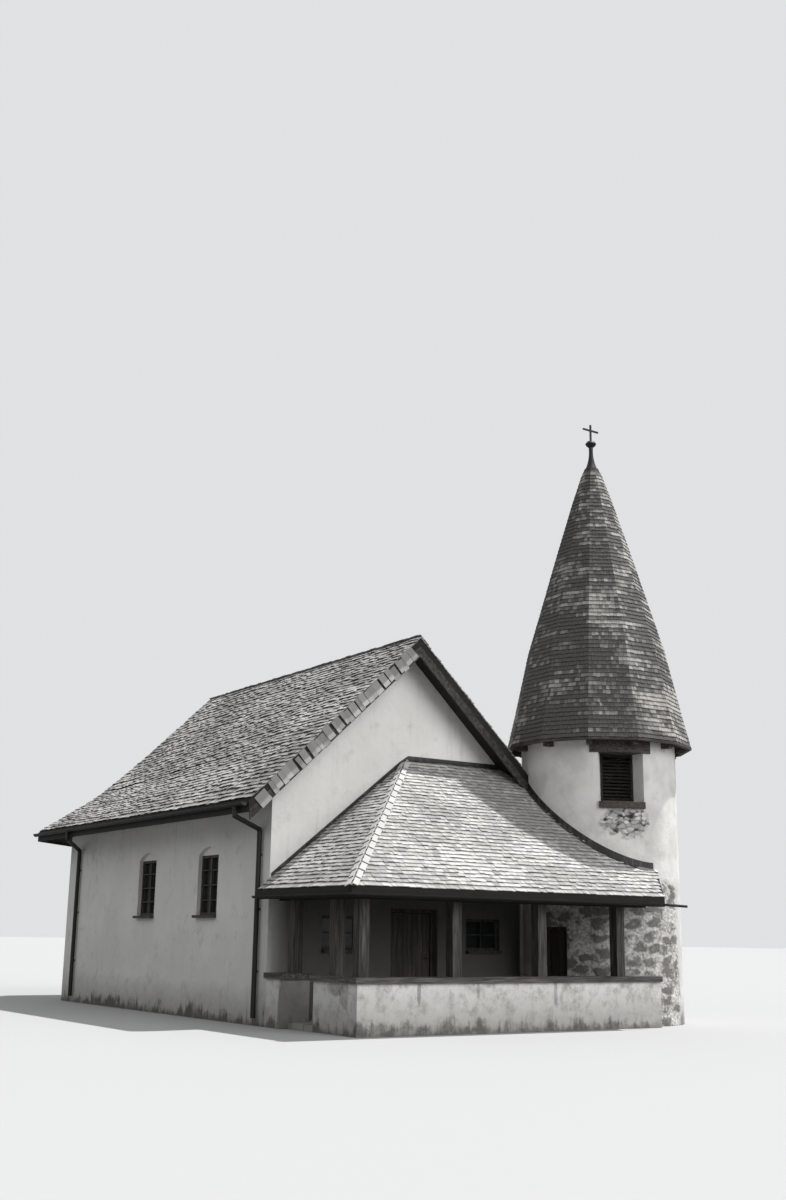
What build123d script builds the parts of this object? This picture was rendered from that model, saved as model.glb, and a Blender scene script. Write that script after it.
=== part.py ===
from build123d import *
import os
from math import atan2, cos, radians, sin, sqrt, tan

os.makedirs("parts", exist_ok=True)

# A small mountain chapel: a plastered nave with a three-sided apse, an open porch
# under a half-hipped lean-to roof across the entrance gable, and a round bell tower
# with a twelve-sided shingled spire at the porch's right end.
# Millimetres. x runs across the nave, y along it towards the apse, z up from the
# ground, with the origin on the ground under the middle of the nave.

# Nave
nave_width = 6600
nave_length = 11450
wall = 600
floor_z = 300
ridge_z = 8300
eave_z = 4450
eave_overhang = 820
verge_overhang = 600
roof_depth = 190
flare_start = 1200
flare_shares = ((0.39, 250), (0.64, 330), (0.825, 170))

# Roof edges of the nave
board = 40
verge_board_depth = 240
fascia = 30
fascia_drop = 20
fascia_depth = 250
gutter_radius = 75
gutter_skin = 6
gutter_drop = 75
gutter_inset = 60
downpipe_radius = 52
downpipe_clear = 25
downpipe_neck = 180
downpipe_slant = 200
downpipe_foot = 150
front_outlet_ahead = 135
front_pipe_back = 365
back_outlet_ahead = 2125
back_pipe_ahead = 825
tower_outlet_back = 600
tower_pipe_back = 250
clip = 40
clip_levels = (1060, 2300, 3400)

# Windows of the side walls
side_window_y = (2870, 6190)
side_window_width = 1000
side_window_sill = 2130
side_window_head = 3500
side_window_rise = 180
niche_depth = 90
sill_board = 60
sill_reach = 110
sash = 60
sash_depth = 70
glazing_bar = 26
pane = 8

# Doorway and windows behind the porch
door_x = 320
door_width = 1240
door_head = 2380
door_set_back = 150
porch_window_offset = 1870
porch_window_width = 950
porch_window_sill = 1450
porch_window_head = 2200

# Door leaves and their ironwork
jamb = 80
jamb_depth = 90
leaf = 50
leaf_gap = 10
pin_offset = 15
pin_radius = 8
barrel_radius = 14
barrel_height = 90
pin_clearance = 0.5
strap = 6
strap_height = 50
lug_height = 20
door_floor_gap = 10
strap_share = 0.7
low_strap_share = 0.18
high_strap_share = 0.78
plate = 44
lever_inset = 70
lever_stand = 60
lever_radius = 9
lever_reach = 100

# Porch
porch_depth = 3185
porch_left = 170
porch_floor_z = 120
low_wall = 320
low_wall_z = 935
low_wall_end = 4530
coping = 115
coping_reach = 60
pier_width = 633
pier_depth = 665
entrance_width = 940
post = 220
post_inset = 175
post_spacing = 2140
post_count = 4
side_post_spacing = 855
beam = 200
beam_z = 2470
beam_end = 60
porch_eave_z = 2673
porch_overhang = 442
porch_top_z = 5607
porch_roof_depth = 190
porch_rafter_depth = 150
porch_rafter_width = 90
porch_rafter_pitch = 700
porch_rafter_inset = 250
porch_roof_end = 4290
porch_roof_splay = 540
porch_gutter_radius = 50
porch_gutter_drop = 120
porch_gutter_stub = 60
spout_radius = 28
spout_reach = 600
spout_fall = 20

# Tower
tower_radius = 1790
tower_corner_gap = 45
tower_wall_gap = 5
tower_wall = 450
tower_top = 6150
tower_door_angle = -168
tower_door_width = 680
tower_door_head = 2050
tower_door_set_back = 200
belfry_angle = -115
belfry_sill = 4770
belfry_head = 5860
belfry_width = 1100
louvre_width = 770
louvre_set_back = 400
louvre_pitch = 77
louvre_tilt = 35
slat = 14
splay_lead = 60
lintel_span = 46
lintel_depth = 390
lintel_proud = 30
sill_span = 34
sill_height = 150
sill_depth = 150
sill_proud = 45

# Spire: height above the tower wall and corner radius of each twelve-sided ring, the radius
# as a share of the ring at the eaves
spire_profile = ((0, 1), (850, 0.905), (2350, 0.749), (3350, 0.609), (4850, 0.402), (6150, 0.216),
                 (7000, 0.0814))
spire_overhang = 360
spire_sides = 12
spire_joint_ring = 3
spire_turn = 12.6
spire_shell = 150
eave_block = 130
eave_block_reach = 230
eave_ring = 50
eave_ring_width = 110
eave_ring_lip = 28
neck_height = 590
neck_foot_radius = 150
neck_waist_height = 210
neck_waist_radius = 80
neck_radius = 55
ball_radius = 135
ball_rise = 95
ball_sink = 15
cross_height = 416
cross_span = 490
cross_bar = 38
cross_arm_share = 0.64

# Bedding between curved faces that meet
bedding = 0.3

half = nave_width / 2
inner = half - wall
front = -nave_length / 2
corner = nave_length / 2
eave_run = half + eave_overhang
verge_y = front - verge_overhang
flare_points = [(share * eave_run, drop) for share, drop in flare_shares]
apse_y = corner - half * tan(radians(22.5))
slope = (ridge_z - eave_z) / eave_run
tower_forward = porch_depth - low_wall - tower_radius - tower_wall_gap
tower_x = half + sqrt((tower_radius + tower_corner_gap) ** 2 - tower_forward ** 2)
tower_y = front - tower_forward
tower_back = tower_y + tower_radius
spire_base = tower_radius + spire_overhang
spire_rings = [(height, share * spire_base) for height, share in spire_profile]
porch_x = -half + porch_left
porch_y = front - porch_depth
porch_eave_x = porch_x - porch_overhang
porch_eave_y = porch_y - porch_overhang
porch_slope = (porch_top_z - porch_eave_z) / (porch_depth + porch_overhang)
coping_z = low_wall_z + coping
post_x = porch_x + post_inset
post_y = porch_y + post_inset


def finish(builder, name):
    """Label a finished piece and write it to its own file."""
    builder.part.label = name
    export_step(builder.part, f"parts/{name}.step")


def across(y):
    """The upright plane across the nave at y, drawn in x and z."""
    return Plane.XZ.offset(-y)


def roof_top(run, flare):
    """Height of the nave roof at a distance from the ridge; flare runs from 0 to 1."""
    points = [(0, 0)] + flare_points + [(eave_run, 0)]
    drop = 0
    for (run_a, drop_a), (run_b, drop_b) in zip(points, points[1:]):
        if run_a <= run <= run_b:
            drop = drop_a + (drop_b - drop_a) * (run - run_a) / (run_b - run_a)
    return ridge_z - slope * run - flare * drop


def roof_under(run, flare):
    return roof_top(run, flare) - roof_depth


roof_runs = [0] + [run for run, drop in flare_points] + [eave_run]
roof_bands = list(zip(roof_runs, roof_runs[1:]))


def band_section(run_a, run_b, flare, sign=1):
    """Outline of one band of a slope's slab in distance from the ridge and height."""
    top = [(sign * run, roof_top(run, flare)) for run in (run_a, run_b)]
    under = [(sign * run, roof_under(run, flare)) for run in (run_b, run_a)]
    return top + under


def wall_section(flare):
    """Outline of a wall with its top fitted under one slope of the roof."""
    runs = [inner] + [run for run in roof_runs if inner < run < half] + [half]
    return [(half, 0), (inner, 0)] + [(run, roof_under(run, flare)) for run in runs]


def mitre_plane(angle):
    """Upright plane through the apse centre along the given direction; its normal
    points to the side of the larger angles."""
    normal = (-sin(radians(angle)), cos(radians(angle)), 0)
    return Plane(origin=(0, apse_y, 0), z_dir=normal)


def apse_plane(angle):
    """Upright plane through the apse centre, drawn in run and height."""
    turn = radians(angle)
    return Plane(origin=(0, apse_y, 0), x_dir=(cos(turn), sin(turn), 0), z_dir=(sin(turn), -cos(turn), 0))


def tower_plane(angle, distance=0):
    """Upright plane square to a spoke of the tower, drawn sideways and in height."""
    turn = radians(angle)
    spoke = (cos(turn), sin(turn), 0)
    origin = (tower_x + distance * spoke[0], tower_y + distance * spoke[1], 0)
    return Plane(origin=origin, x_dir=(-spoke[1], spoke[0], 0), z_dir=spoke)


def tower_sector(inner, outer, middle, spread, bottom, top):
    """A block of a ring about the tower's axis, spread over an angle about its middle."""
    start = middle - spread / 2
    with BuildPart() as block:
        with BuildSketch(Plane.XY.offset(bottom)):
            with BuildLine():
                for radius in (inner, outer):
                    CenterArc((tower_x, tower_y), radius, start, spread)
                for angle in (start, start + spread):
                    turn = radians(angle)
                    Line((tower_x + inner * cos(turn), tower_y + inner * sin(turn)),
                         (tower_x + outer * cos(turn), tower_y + outer * sin(turn)))
            make_face()
        extrude(amount=top - bottom)
    return block.part


tower_hole = Pos(tower_x, tower_y, 0) * Cylinder(
    tower_radius + bedding, ridge_z, align=(Align.CENTER, Align.CENTER, Align.MIN))


# Nave floor
apse_corner = 1 / cos(radians(22.5))
with BuildPart() as nave_floor:
    with BuildSketch():
        with BuildLine():
            ring = [(-inner, front + wall)]
            for angle in (157.5, 112.5, 67.5, 22.5):
                turn = radians(angle)
                reach = inner * apse_corner
                ring.append((reach * cos(turn), apse_y + reach * sin(turn)))
            ring.append((inner, front + wall))
            Polyline(*ring, close=True)
        make_face()
    extrude(amount=floor_z)
finish(nave_floor, "nave_floor")


# Entrance wall: one block on each side of the doorway and the gable over it
door_left = door_x - door_width / 2
door_right = door_x + door_width / 2


def wall_box(x_a, x_b, y_a, y_b, z_a, z_b, mode=Mode.ADD):
    """An upright block between two corners, inside an open part context."""
    with Locations(((x_a + x_b) / 2, (y_a + y_b) / 2, (z_a + z_b) / 2)):
        Box(abs(x_b - x_a), abs(y_b - y_a), abs(z_b - z_a), mode=mode)


for side, x_a, x_b, window_x in (
    ("left", -half, door_left, door_x - porch_window_offset),
    ("right", door_right, half, door_x + porch_window_offset),
):
    with BuildPart() as front_wall:
        wall_box(x_a, x_b, front, front + wall, 0, door_head)
        wall_box(window_x - porch_window_width / 2, window_x + porch_window_width / 2,
                 front, front + wall, porch_window_sill, porch_window_head, Mode.SUBTRACT)
    finish(front_wall, f"front_wall_{side}")

with BuildPart() as front_gable:
    with BuildSketch(across(front)):
        with BuildLine():
            Polyline((-half, door_head), (half, door_head), (half, roof_under(half, 0)),
                     (0, roof_under(0, 0)), (-half, roof_under(half, 0)), close=True)
        make_face()
    extrude(amount=-wall)
finish(front_gable, "front_gable")

with BuildPart() as door_step:
    wall_box(door_left, door_right, front, front + wall, 0, floor_z)
finish(door_step, "door_step")


# Side walls, with their tops under the slope of the roof and arched niches for the windows
side_half = side_window_width / 2
with BuildSketch() as niche:
    with BuildLine():
        Line((-side_half, side_window_sill), (side_half, side_window_sill))
        Line((side_half, side_window_sill), (side_half, side_window_head))
        ThreePointArc((side_half, side_window_head), (0, side_window_head + side_window_rise),
                      (-side_half, side_window_head))
        Line((-side_half, side_window_head), (-side_half, side_window_sill))
    make_face()

wall_stations = ((front + wall, 0), (front + flare_start, 0), (apse_y, 1), (corner, 1))
for side, sign in (("left", -1), ("right", 1)):
    with BuildPart() as side_wall:
        for stations in zip(wall_stations, wall_stations[1:]):
            for y, flare in stations:
                with BuildSketch(across(y)):
                    with BuildLine():
                        Polyline(*[(sign * run, z) for run, z in wall_section(flare)], close=True)
                    make_face()
            loft(ruled=True)
        split(bisect_by=mitre_plane(90 - sign * 67.5),
              keep=Keep.BOTTOM if sign > 0 else Keep.TOP)
        for offset in side_window_y:
            middle = front + offset
            wall_box(sign * inner, sign * half, middle - side_window_width / 2,
                     middle + side_window_width / 2, side_window_sill, side_window_head, Mode.SUBTRACT)
            outside = Plane(origin=(sign * half, middle, 0), x_dir=(0, sign, 0), z_dir=(sign, 0, 0))
            with BuildSketch(outside):
                add(niche.sketch)
            extrude(amount=-niche_depth, mode=Mode.SUBTRACT)
    finish(side_wall, f"{side}_wall")


# Apse walls and roof faces, mitred on the corners of a regular octagon
apse_walls = []
apse_faces = []
apse_boards = []
for angle in (135, 90, 45):
    with BuildPart() as apse_wall_side:
        with BuildSketch(apse_plane(angle)):
            with BuildLine():
                Polyline(*wall_section(1), close=True)
            make_face()
        extrude(amount=half, both=True)
        split(bisect_by=mitre_plane(angle + 22.5), keep=Keep.BOTTOM)
        split(bisect_by=mitre_plane(angle - 22.5), keep=Keep.TOP)
    apse_walls.append(apse_wall_side.part)

    with BuildPart() as apse_roof_side:
        with BuildSketch(apse_plane(angle)):
            for run_a, run_b in roof_bands:
                with BuildLine():
                    Polyline(*band_section(run_a, run_b, 1), close=True)
                make_face()
        extrude(amount=half, both=True)
        split(bisect_by=mitre_plane(angle + 22.5), keep=Keep.BOTTOM)
        split(bisect_by=mitre_plane(angle - 22.5), keep=Keep.TOP)
    apse_faces.append(apse_roof_side.part)

    with BuildPart() as apse_board:
        with BuildSketch(apse_plane(angle)):
            with Locations((eave_run + fascia / 2, eave_z - fascia_drop - fascia_depth / 2)):
                Rectangle(fascia, fascia_depth)
        extrude(amount=half, both=True)
        split(bisect_by=mitre_plane(angle + 22.5), keep=Keep.BOTTOM)
        split(bisect_by=mitre_plane(angle - 22.5), keep=Keep.TOP)
    apse_boards.append(apse_board.part)

with BuildPart() as apse_wall:
    add(apse_walls)
finish(apse_wall, "apse_wall")

with BuildPart() as apse_roof:
    add(apse_faces)
finish(apse_roof, "apse_roof")


# Nave roof slopes: straight over the entrance gable and flared towards the apse
hip_y = apse_y + eave_run * tan(radians(22.5))
roof_stations = ((verge_y, 0), (front + flare_start, 0), (apse_y, 1), (hip_y, 1))
for side, sign in (("left", -1), ("right", 1)):
    with BuildPart() as nave_roof:
        for run_a, run_b in roof_bands:
            for stations in zip(roof_stations, roof_stations[1:]):
                for y, flare in stations:
                    with BuildSketch(across(y)):
                        with BuildLine():
                            Polyline(*band_section(run_a, run_b, flare, sign), close=True)
                        make_face()
                loft(ruled=True)
        split(bisect_by=mitre_plane(90 - sign * 67.5),
              keep=Keep.BOTTOM if sign > 0 else Keep.TOP)
        if sign > 0:
            add(tower_hole, mode=Mode.SUBTRACT)
    finish(nave_roof, f"nave_roof_{side}")


# Verge boards on the edge of the entrance gable's roof
for side, sign in (("left", -1), ("right", 1)):
    with BuildPart() as verge_board:
        with BuildSketch(across(verge_y)):
            with BuildLine():
                Polyline((0, roof_under(0, 0)), (sign * eave_run, roof_under(eave_run, 0)),
                         (sign * eave_run, roof_under(eave_run, 0) - verge_board_depth),
                         (0, roof_under(0, 0) - verge_board_depth), close=True)
            make_face()
        extrude(amount=-board)
        if sign > 0:
            add(tower_hole, mode=Mode.SUBTRACT)
    finish(verge_board, f"verge_board_{side}")


# Dark boards that close the eaves all round, and half-round gutters along the two sides
side_boards = []
for sign in (-1, 1):
    with BuildPart() as side_board:
        with BuildSketch(across(verge_y)):
            with Locations((sign * (eave_run + fascia / 2), eave_z - fascia_drop - fascia_depth / 2)):
                Rectangle(fascia, fascia_depth)
        extrude(amount=-(corner + eave_overhang - verge_y))
        split(bisect_by=mitre_plane(90 - sign * 67.5),
              keep=Keep.BOTTOM if sign > 0 else Keep.TOP)
        if sign > 0:
            add(tower_hole, mode=Mode.SUBTRACT)
    side_boards.append(side_board.part)

with BuildPart() as eave_boards:
    add(side_boards)
    add(apse_boards)
finish(eave_boards, "eave_boards")

gutter_x = eave_run + fascia + gutter_radius
gutter_z = eave_z - gutter_drop


def channel(radius, plane, length):
    """A half-round gutter with closed ends, drawn on a plane and run along its normal."""
    with BuildPart() as gutter:
        for start, reach, bore in ((0, gutter_skin, 0), (gutter_skin, length - 2 * gutter_skin, 1),
                                   (length - gutter_skin, gutter_skin, 0)):
            with BuildSketch(plane.offset(start)):
                Circle(radius)
                if bore:
                    Circle(radius - gutter_skin, mode=Mode.SUBTRACT)
                with Locations((0, radius / 2)):
                    Rectangle(2 * radius, radius, mode=Mode.SUBTRACT)
            extrude(amount=reach)
    return gutter.part


with BuildPart() as nave_gutters:
    for sign, near_y in ((-1, verge_y), (1, tower_back)):
        end = Plane(origin=(sign * gutter_x, hip_y, gutter_z), x_dir=(1, 0, 0), z_dir=(0, -1, 0))
        add(channel(gutter_radius, end, hip_y - near_y - gutter_inset))
finish(nave_gutters, "nave_gutters")

# Downpipes: out of the gutter, slanting back to the wall and down it, held by clips
def downpipe(sign, outlet_y, wall_y):
    """A pipe on one side wall from its outlet in the gutter to its place on the wall."""
    pipe_x = sign * (half + downpipe_clear + downpipe_radius)
    outlet = (sign * gutter_x, outlet_y, gutter_z - gutter_radius)
    neck = (outlet[0], outlet[1], outlet[2] - downpipe_neck)
    bend = (pipe_x, wall_y, neck[2] - downpipe_slant)
    with BuildPart() as pipe:
        with BuildLine() as route:
            Polyline(outlet, neck, bend, (bend[0], bend[1], downpipe_foot))
        with BuildSketch(Plane(origin=outlet, z_dir=(0, 0, -1))):
            Circle(downpipe_radius)
        sweep(path=route.line, transition=Transition.ROUND)
        for level in clip_levels:
            wall_box(sign * half, pipe_x, wall_y - clip / 2, wall_y + clip / 2,
                     level - clip / 2, level + clip / 2)
    return pipe.part


back_run = (corner - back_outlet_ahead, corner - back_pipe_ahead)
downpipes = [
    downpipe(-1, front - front_outlet_ahead, front + front_pipe_back),
    downpipe(-1, *back_run),
    downpipe(1, tower_back + tower_outlet_back, tower_back + tower_pipe_back),
    downpipe(1, *back_run),
]
with BuildPart() as nave_downpipes:
    add(downpipes)
finish(nave_downpipes, "nave_downpipes")


# Window frames with their glazing bars, panes and sill boards
def sash_grid(width, sill, head, rows, columns):
    """Face of a window frame with its glazing bars, drawn sideways and in height."""
    height = head - sill
    with BuildSketch() as grid:
        with Locations((0, (sill + head) / 2)):
            Rectangle(width, height)
            Rectangle(width - 2 * sash, height - 2 * sash, mode=Mode.SUBTRACT)
        for row in range(1, rows + 1):
            with Locations((0, sill + row * height / (rows + 1))):
                Rectangle(width - sash, glazing_bar)
        for column in range(1, columns + 1):
            with Locations((-width / 2 + column * width / (columns + 1), (sill + head) / 2)):
                Rectangle(glazing_bar, height - sash)
    return grid.sketch


def window_planes(side):
    """Planes on the outer wall face at the middle of each window, normal outwards."""
    if side == "front":
        middles = [door_x - porch_window_offset, door_x + porch_window_offset]
        return [Plane(origin=(x, front, 0), x_dir=(1, 0, 0), z_dir=(0, -1, 0)) for x in middles]
    sign = -1 if side == "left" else 1
    return [Plane(origin=(sign * half, front + y, 0), x_dir=(0, sign, 0), z_dir=(sign, 0, 0))
            for y in side_window_y]


window_groups = (
    (window_planes("left") + window_planes("right"),
     side_window_width, side_window_sill, side_window_head, 3),
    (window_planes("front"), porch_window_width, porch_window_sill, porch_window_head, 1),
)
with BuildPart() as window_frames:
    for planes, width, sill, head, rows in window_groups:
        grid = sash_grid(width, sill + sill_board, head, rows, 1)
        with BuildSketch(*[plane.offset(-niche_depth) for plane in planes]):
            add(grid)
    extrude(amount=-sash_depth)
finish(window_frames, "window_frames")

with BuildPart() as window_glass:
    for planes, width, sill, head, rows in window_groups:
        with BuildSketch(*[plane.offset(-niche_depth - sash_depth) for plane in planes]):
            with Locations((0, (sill + sill_board + head) / 2)):
                Rectangle(width, head - sill - sill_board)
    extrude(amount=-pane)
finish(window_glass, "window_glass")

with BuildPart() as window_sills:
    for planes, width, sill, head, rows in window_groups:
        with BuildSketch(*[plane.offset(sill_reach) for plane in planes]):
            with Locations((0, sill + sill_board / 2)):
                Rectangle(width, sill_board)
    extrude(amount=-sill_reach - niche_depth - sash_depth)
finish(window_sills, "window_sills")


# Doors, each in its own frame of reference: x from the hinge jamb to the latch jamb, y the
# way it opens, z up from the floor, with the origin at the foot of the hinge jamb
tower_door_foot = tower_plane(tower_door_angle, tower_radius - tower_door_set_back) * Pos(
    -tower_door_width / 2, porch_floor_z, 0)
doors = {
    "door": (Location((door_left, front + door_set_back, floor_z)),
             door_width, door_head - floor_z),
    "tower_door": (Location(tower_door_foot.position, (0, 0, tower_door_angle + 90)),
                   tower_door_width, tower_door_head - porch_floor_z),
}
door_frames = []
door_pintles = []
for name, (place, width, height) in doors.items():
    leaf_left = jamb + leaf_gap
    leaf_right = width - jamb - leaf_gap
    leaf_top = height - jamb - leaf_gap
    leaf_front = jamb_depth - leaf
    pin_y = jamb_depth + pin_offset
    strap_length = (leaf_right - leaf_left) * strap_share
    strap_levels = (height * low_strap_share, height * high_strap_share)
    lever_x = leaf_right - lever_inset

    with BuildPart() as frame:
        wall_box(0, jamb, 0, jamb_depth, 0, height)
        wall_box(width - jamb, width, 0, jamb_depth, 0, height)
        wall_box(jamb, width - jamb, 0, jamb_depth, height - jamb, height)
    door_frames.append(frame.part.moved(place))

    with BuildPart() as pintles:
        for level in strap_levels:
            foot = level - barrel_height / 2 - pin_clearance
            wall_box(leaf_left - 2 * barrel_radius, leaf_left, jamb_depth, pin_y + pin_radius,
                     foot - lug_height, foot)
            with Locations((leaf_left, pin_y, foot - lug_height)):
                Cylinder(pin_radius, lug_height + barrel_height,
                         align=(Align.CENTER, Align.CENTER, Align.MIN))
    door_pintles.append(pintles.part.moved(place))

    with BuildPart() as leaf_board:
        wall_box(leaf_left, leaf_right, leaf_front, jamb_depth, door_floor_gap, leaf_top)
    with BuildPart() as placed_leaf:
        add(leaf_board.part.moved(place))
    finish(placed_leaf, f"{name}_leaf")

    with BuildPart() as ironwork:
        for level in strap_levels:
            wall_box(leaf_left, leaf_left + strap_length, jamb_depth, jamb_depth + strap,
                     level - strap_height / 2, level + strap_height / 2)
            with Locations((leaf_left, pin_y, level)):
                Cylinder(barrel_radius, barrel_height)
                Cylinder(pin_radius + pin_clearance, barrel_height, mode=Mode.SUBTRACT)
        wall_box(lever_x - plate / 2, lever_x + plate / 2, leaf_front - strap, leaf_front,
                 height / 2 - lever_reach, height / 2 + lever_reach)
        with Locations((lever_x, leaf_front - lever_stand / 2, height / 2)):
            Cylinder(lever_radius, lever_stand, rotation=(90, 0, 0))
        with Locations((lever_x - lever_reach / 2, leaf_front - lever_stand, height / 2)):
            Cylinder(lever_radius, lever_reach + 2 * lever_radius, rotation=(0, 90, 0))
    with BuildPart() as placed_ironwork:
        add(ironwork.part.moved(place))
    finish(placed_ironwork, f"{name}_ironwork")

with BuildPart() as frames:
    add(door_frames)
finish(frames, "door_frames")

with BuildPart() as pins:
    add(door_pintles)
finish(pins, "door_pintles")


# Porch walls: a pier by the nave corner, the side wall beyond the entrance and the front wall
entrance_near = front - pier_depth
entrance_far = entrance_near - entrance_width
pier_right = pier_width - half
with BuildPart() as porch_side_wall:
    wall_box(-half, pier_right, entrance_near, front, 0, low_wall_z)
    wall_box(porch_x, porch_x + low_wall, porch_y + low_wall, entrance_far, 0, low_wall_z)
finish(porch_side_wall, "porch_side_wall")

with BuildPart() as porch_front_wall:
    wall_box(porch_x, low_wall_end, porch_y, porch_y + low_wall, 0, low_wall_z)
    add(tower_hole, mode=Mode.SUBTRACT)
finish(porch_front_wall, "porch_front_wall")

with BuildPart() as porch_floor:
    wall_box(porch_x + low_wall, tower_x, porch_y + low_wall, front, 0, porch_floor_z)
    wall_box(porch_x, porch_x + low_wall, entrance_far, entrance_near, 0, porch_floor_z)
    wall_box(porch_x + low_wall, pier_right, entrance_near, front, 0, porch_floor_z, Mode.SUBTRACT)
    add(tower_hole, mode=Mode.SUBTRACT)
finish(porch_floor, "porch_floor")


# Timber coping on the pier and the low walls
with BuildPart() as coping_side:
    wall_box(-half - coping_reach, pier_right + coping_reach,
             entrance_near - coping_reach, front, low_wall_z, coping_z)
    wall_box(porch_x - coping_reach, porch_x + low_wall + coping_reach,
             porch_y + low_wall + coping_reach, entrance_far + coping_reach, low_wall_z, coping_z)
finish(coping_side, "coping_side")

with BuildPart() as coping_front:
    wall_box(porch_x - coping_reach, low_wall_end, porch_y - coping_reach,
             porch_y + low_wall + coping_reach, low_wall_z, coping_z)
    add(tower_hole, mode=Mode.SUBTRACT)
finish(coping_front, "coping_front")


# Porch posts and beams
def porch_top(run):
    """Height of the porch roof at a distance in from its eave."""
    return porch_eave_z + porch_slope * run


def porch_under(run):
    return porch_top(run) - porch_roof_depth


rafter_drop = porch_rafter_depth / cos(atan2(porch_top_z - porch_eave_z, porch_depth + porch_overhang))
post_places = [(post_x + post_spacing * index, post_y) for index in range(post_count)]
post_places.append((post_x, post_y + side_post_spacing))
post_places.append((post_x, entrance_near + post / 2))

with BuildPart() as porch_posts:
    for x, y in post_places:
        wall_box(x - post / 2, x + post / 2, y - post / 2, y + post / 2, coping_z, beam_z)
finish(porch_posts, "porch_posts")


# Section of a porch beam, its top planed to the slope of the rafters
beam_run = porch_overhang + post_inset
beam_section = [(beam_run - beam / 2, beam_z), (beam_run + beam / 2, beam_z),
                (beam_run + beam / 2, porch_under(beam_run + beam / 2) - rafter_drop),
                (beam_run - beam / 2, porch_under(beam_run - beam / 2) - rafter_drop)]

hip_plane = Plane(origin=(porch_eave_x, porch_eave_y, 0), z_dir=(-1, 1, 0))
side_section = Plane(origin=(porch_eave_x, front, 0), x_dir=(1, 0, 0), z_dir=(0, -1, 0))
front_section = Plane(origin=(porch_eave_x, porch_eave_y, 0), x_dir=(0, 1, 0), z_dir=(1, 0, 0))
porch_run = porch_depth + porch_overhang
front_length = porch_roof_end - porch_eave_x

with BuildPart() as porch_beam_front:
    with BuildSketch(front_section):
        with BuildLine():
            Polyline(*beam_section, close=True)
        make_face()
    extrude(amount=front_length - beam_end)
    split(bisect_by=hip_plane, keep=Keep.BOTTOM)
    add(tower_hole, mode=Mode.SUBTRACT)
finish(porch_beam_front, "porch_beam_front")

with BuildPart() as porch_beam_side:
    with BuildSketch(side_section):
        with BuildLine():
            Polyline(*beam_section, close=True)
        make_face()
    extrude(amount=porch_run)
    split(bisect_by=hip_plane, keep=Keep.TOP)
finish(porch_beam_side, "porch_beam_side")


# Porch roof: front slope and left slope, trimmed where they pass under the nave's verge;
# the right end of the front slope runs outwards to the foremost point of the tower
tower_front_run = tower_y - tower_radius - porch_eave_y
end_plane = Plane(origin=(porch_roof_end, porch_eave_y, 0),
                  z_dir=(tower_front_run, -porch_roof_splay, 0))
with BuildPart() as above_nave_roof:
    with BuildSketch(across(front)):
        with BuildLine():
            Polyline((0, roof_under(0, 0)), (eave_run, roof_under(eave_run, 0)),
                     (eave_run, ridge_z), (0, ridge_z), close=True)
        make_face()
    extrude(amount=verge_overhang)
    with BuildSketch(across(verge_y)):
        with BuildLine():
            Polyline((0, roof_under(0, 0) - verge_board_depth),
                     (eave_run, roof_under(eave_run, 0) - verge_board_depth),
                     (eave_run, ridge_z), (0, ridge_z), close=True)
        make_face()
    extrude(amount=-board)

with BuildPart() as porch_roof_front:
    with BuildSketch(front_section):
        with BuildLine():
            Polyline((0, porch_top(0)), (porch_run, porch_top(porch_run)),
                     (porch_run, porch_under(porch_run)), (0, porch_under(0)), close=True)
        make_face()
    extrude(amount=front_length + porch_roof_splay)
    split(bisect_by=hip_plane, keep=Keep.BOTTOM)
    split(bisect_by=end_plane, keep=Keep.BOTTOM)
    add(tower_hole, mode=Mode.SUBTRACT)
    add(above_nave_roof.part, mode=Mode.SUBTRACT)
finish(porch_roof_front, "porch_roof_front")

with BuildPart() as porch_roof_side:
    with BuildSketch(side_section):
        with BuildLine():
            Polyline((0, porch_top(0)), (porch_run, porch_top(porch_run)),
                     (porch_run, porch_under(porch_run)), (0, porch_under(0)), close=True)
        make_face()
    extrude(amount=porch_run)
    split(bisect_by=hip_plane, keep=Keep.TOP)
finish(porch_roof_side, "porch_roof_side")


# Porch rafters, trimmed beside the hip rafter and where they meet the tower
hip_drop = porch_rafter_width / 2 * porch_slope / sqrt(2)


def rafter_outline(run_a, run_b, scale=1, lower=0, depth=rafter_drop):
    """Outline of a rafter under the porch roof between two distances from the eave."""
    return [(run_a * scale, porch_under(run_a) - lower), (run_b * scale, porch_under(run_b) - lower),
            (run_b * scale, porch_under(run_b) - lower - depth),
            (run_a * scale, porch_under(run_a) - lower - depth)]


def rafter_row(section, length):
    """A row of whole rafters across one slope, before they are trimmed."""
    count = int(length / porch_rafter_pitch)
    with BuildPart() as row:
        with BuildSketch(*[section.offset((index + 0.5) * porch_rafter_pitch)
                           for index in range(count)]):
            with BuildLine():
                Polyline(*rafter_outline(porch_rafter_inset, porch_run), close=True)
            make_face()
        extrude(amount=porch_rafter_width)
    return row.part


with BuildPart() as front_rafters:
    add(rafter_row(front_section, front_length))
    split(bisect_by=hip_plane.offset(-porch_rafter_width / 2), keep=Keep.BOTTOM)
    add(tower_hole, mode=Mode.SUBTRACT)
    add(above_nave_roof.part, mode=Mode.SUBTRACT)

with BuildPart() as side_rafters:
    add(rafter_row(side_section, porch_run))
    split(bisect_by=hip_plane.offset(porch_rafter_width / 2), keep=Keep.TOP)

with BuildPart() as porch_rafters:
    add(front_rafters.part)
    add(side_rafters.part)
finish(porch_rafters, "porch_rafters")

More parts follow.
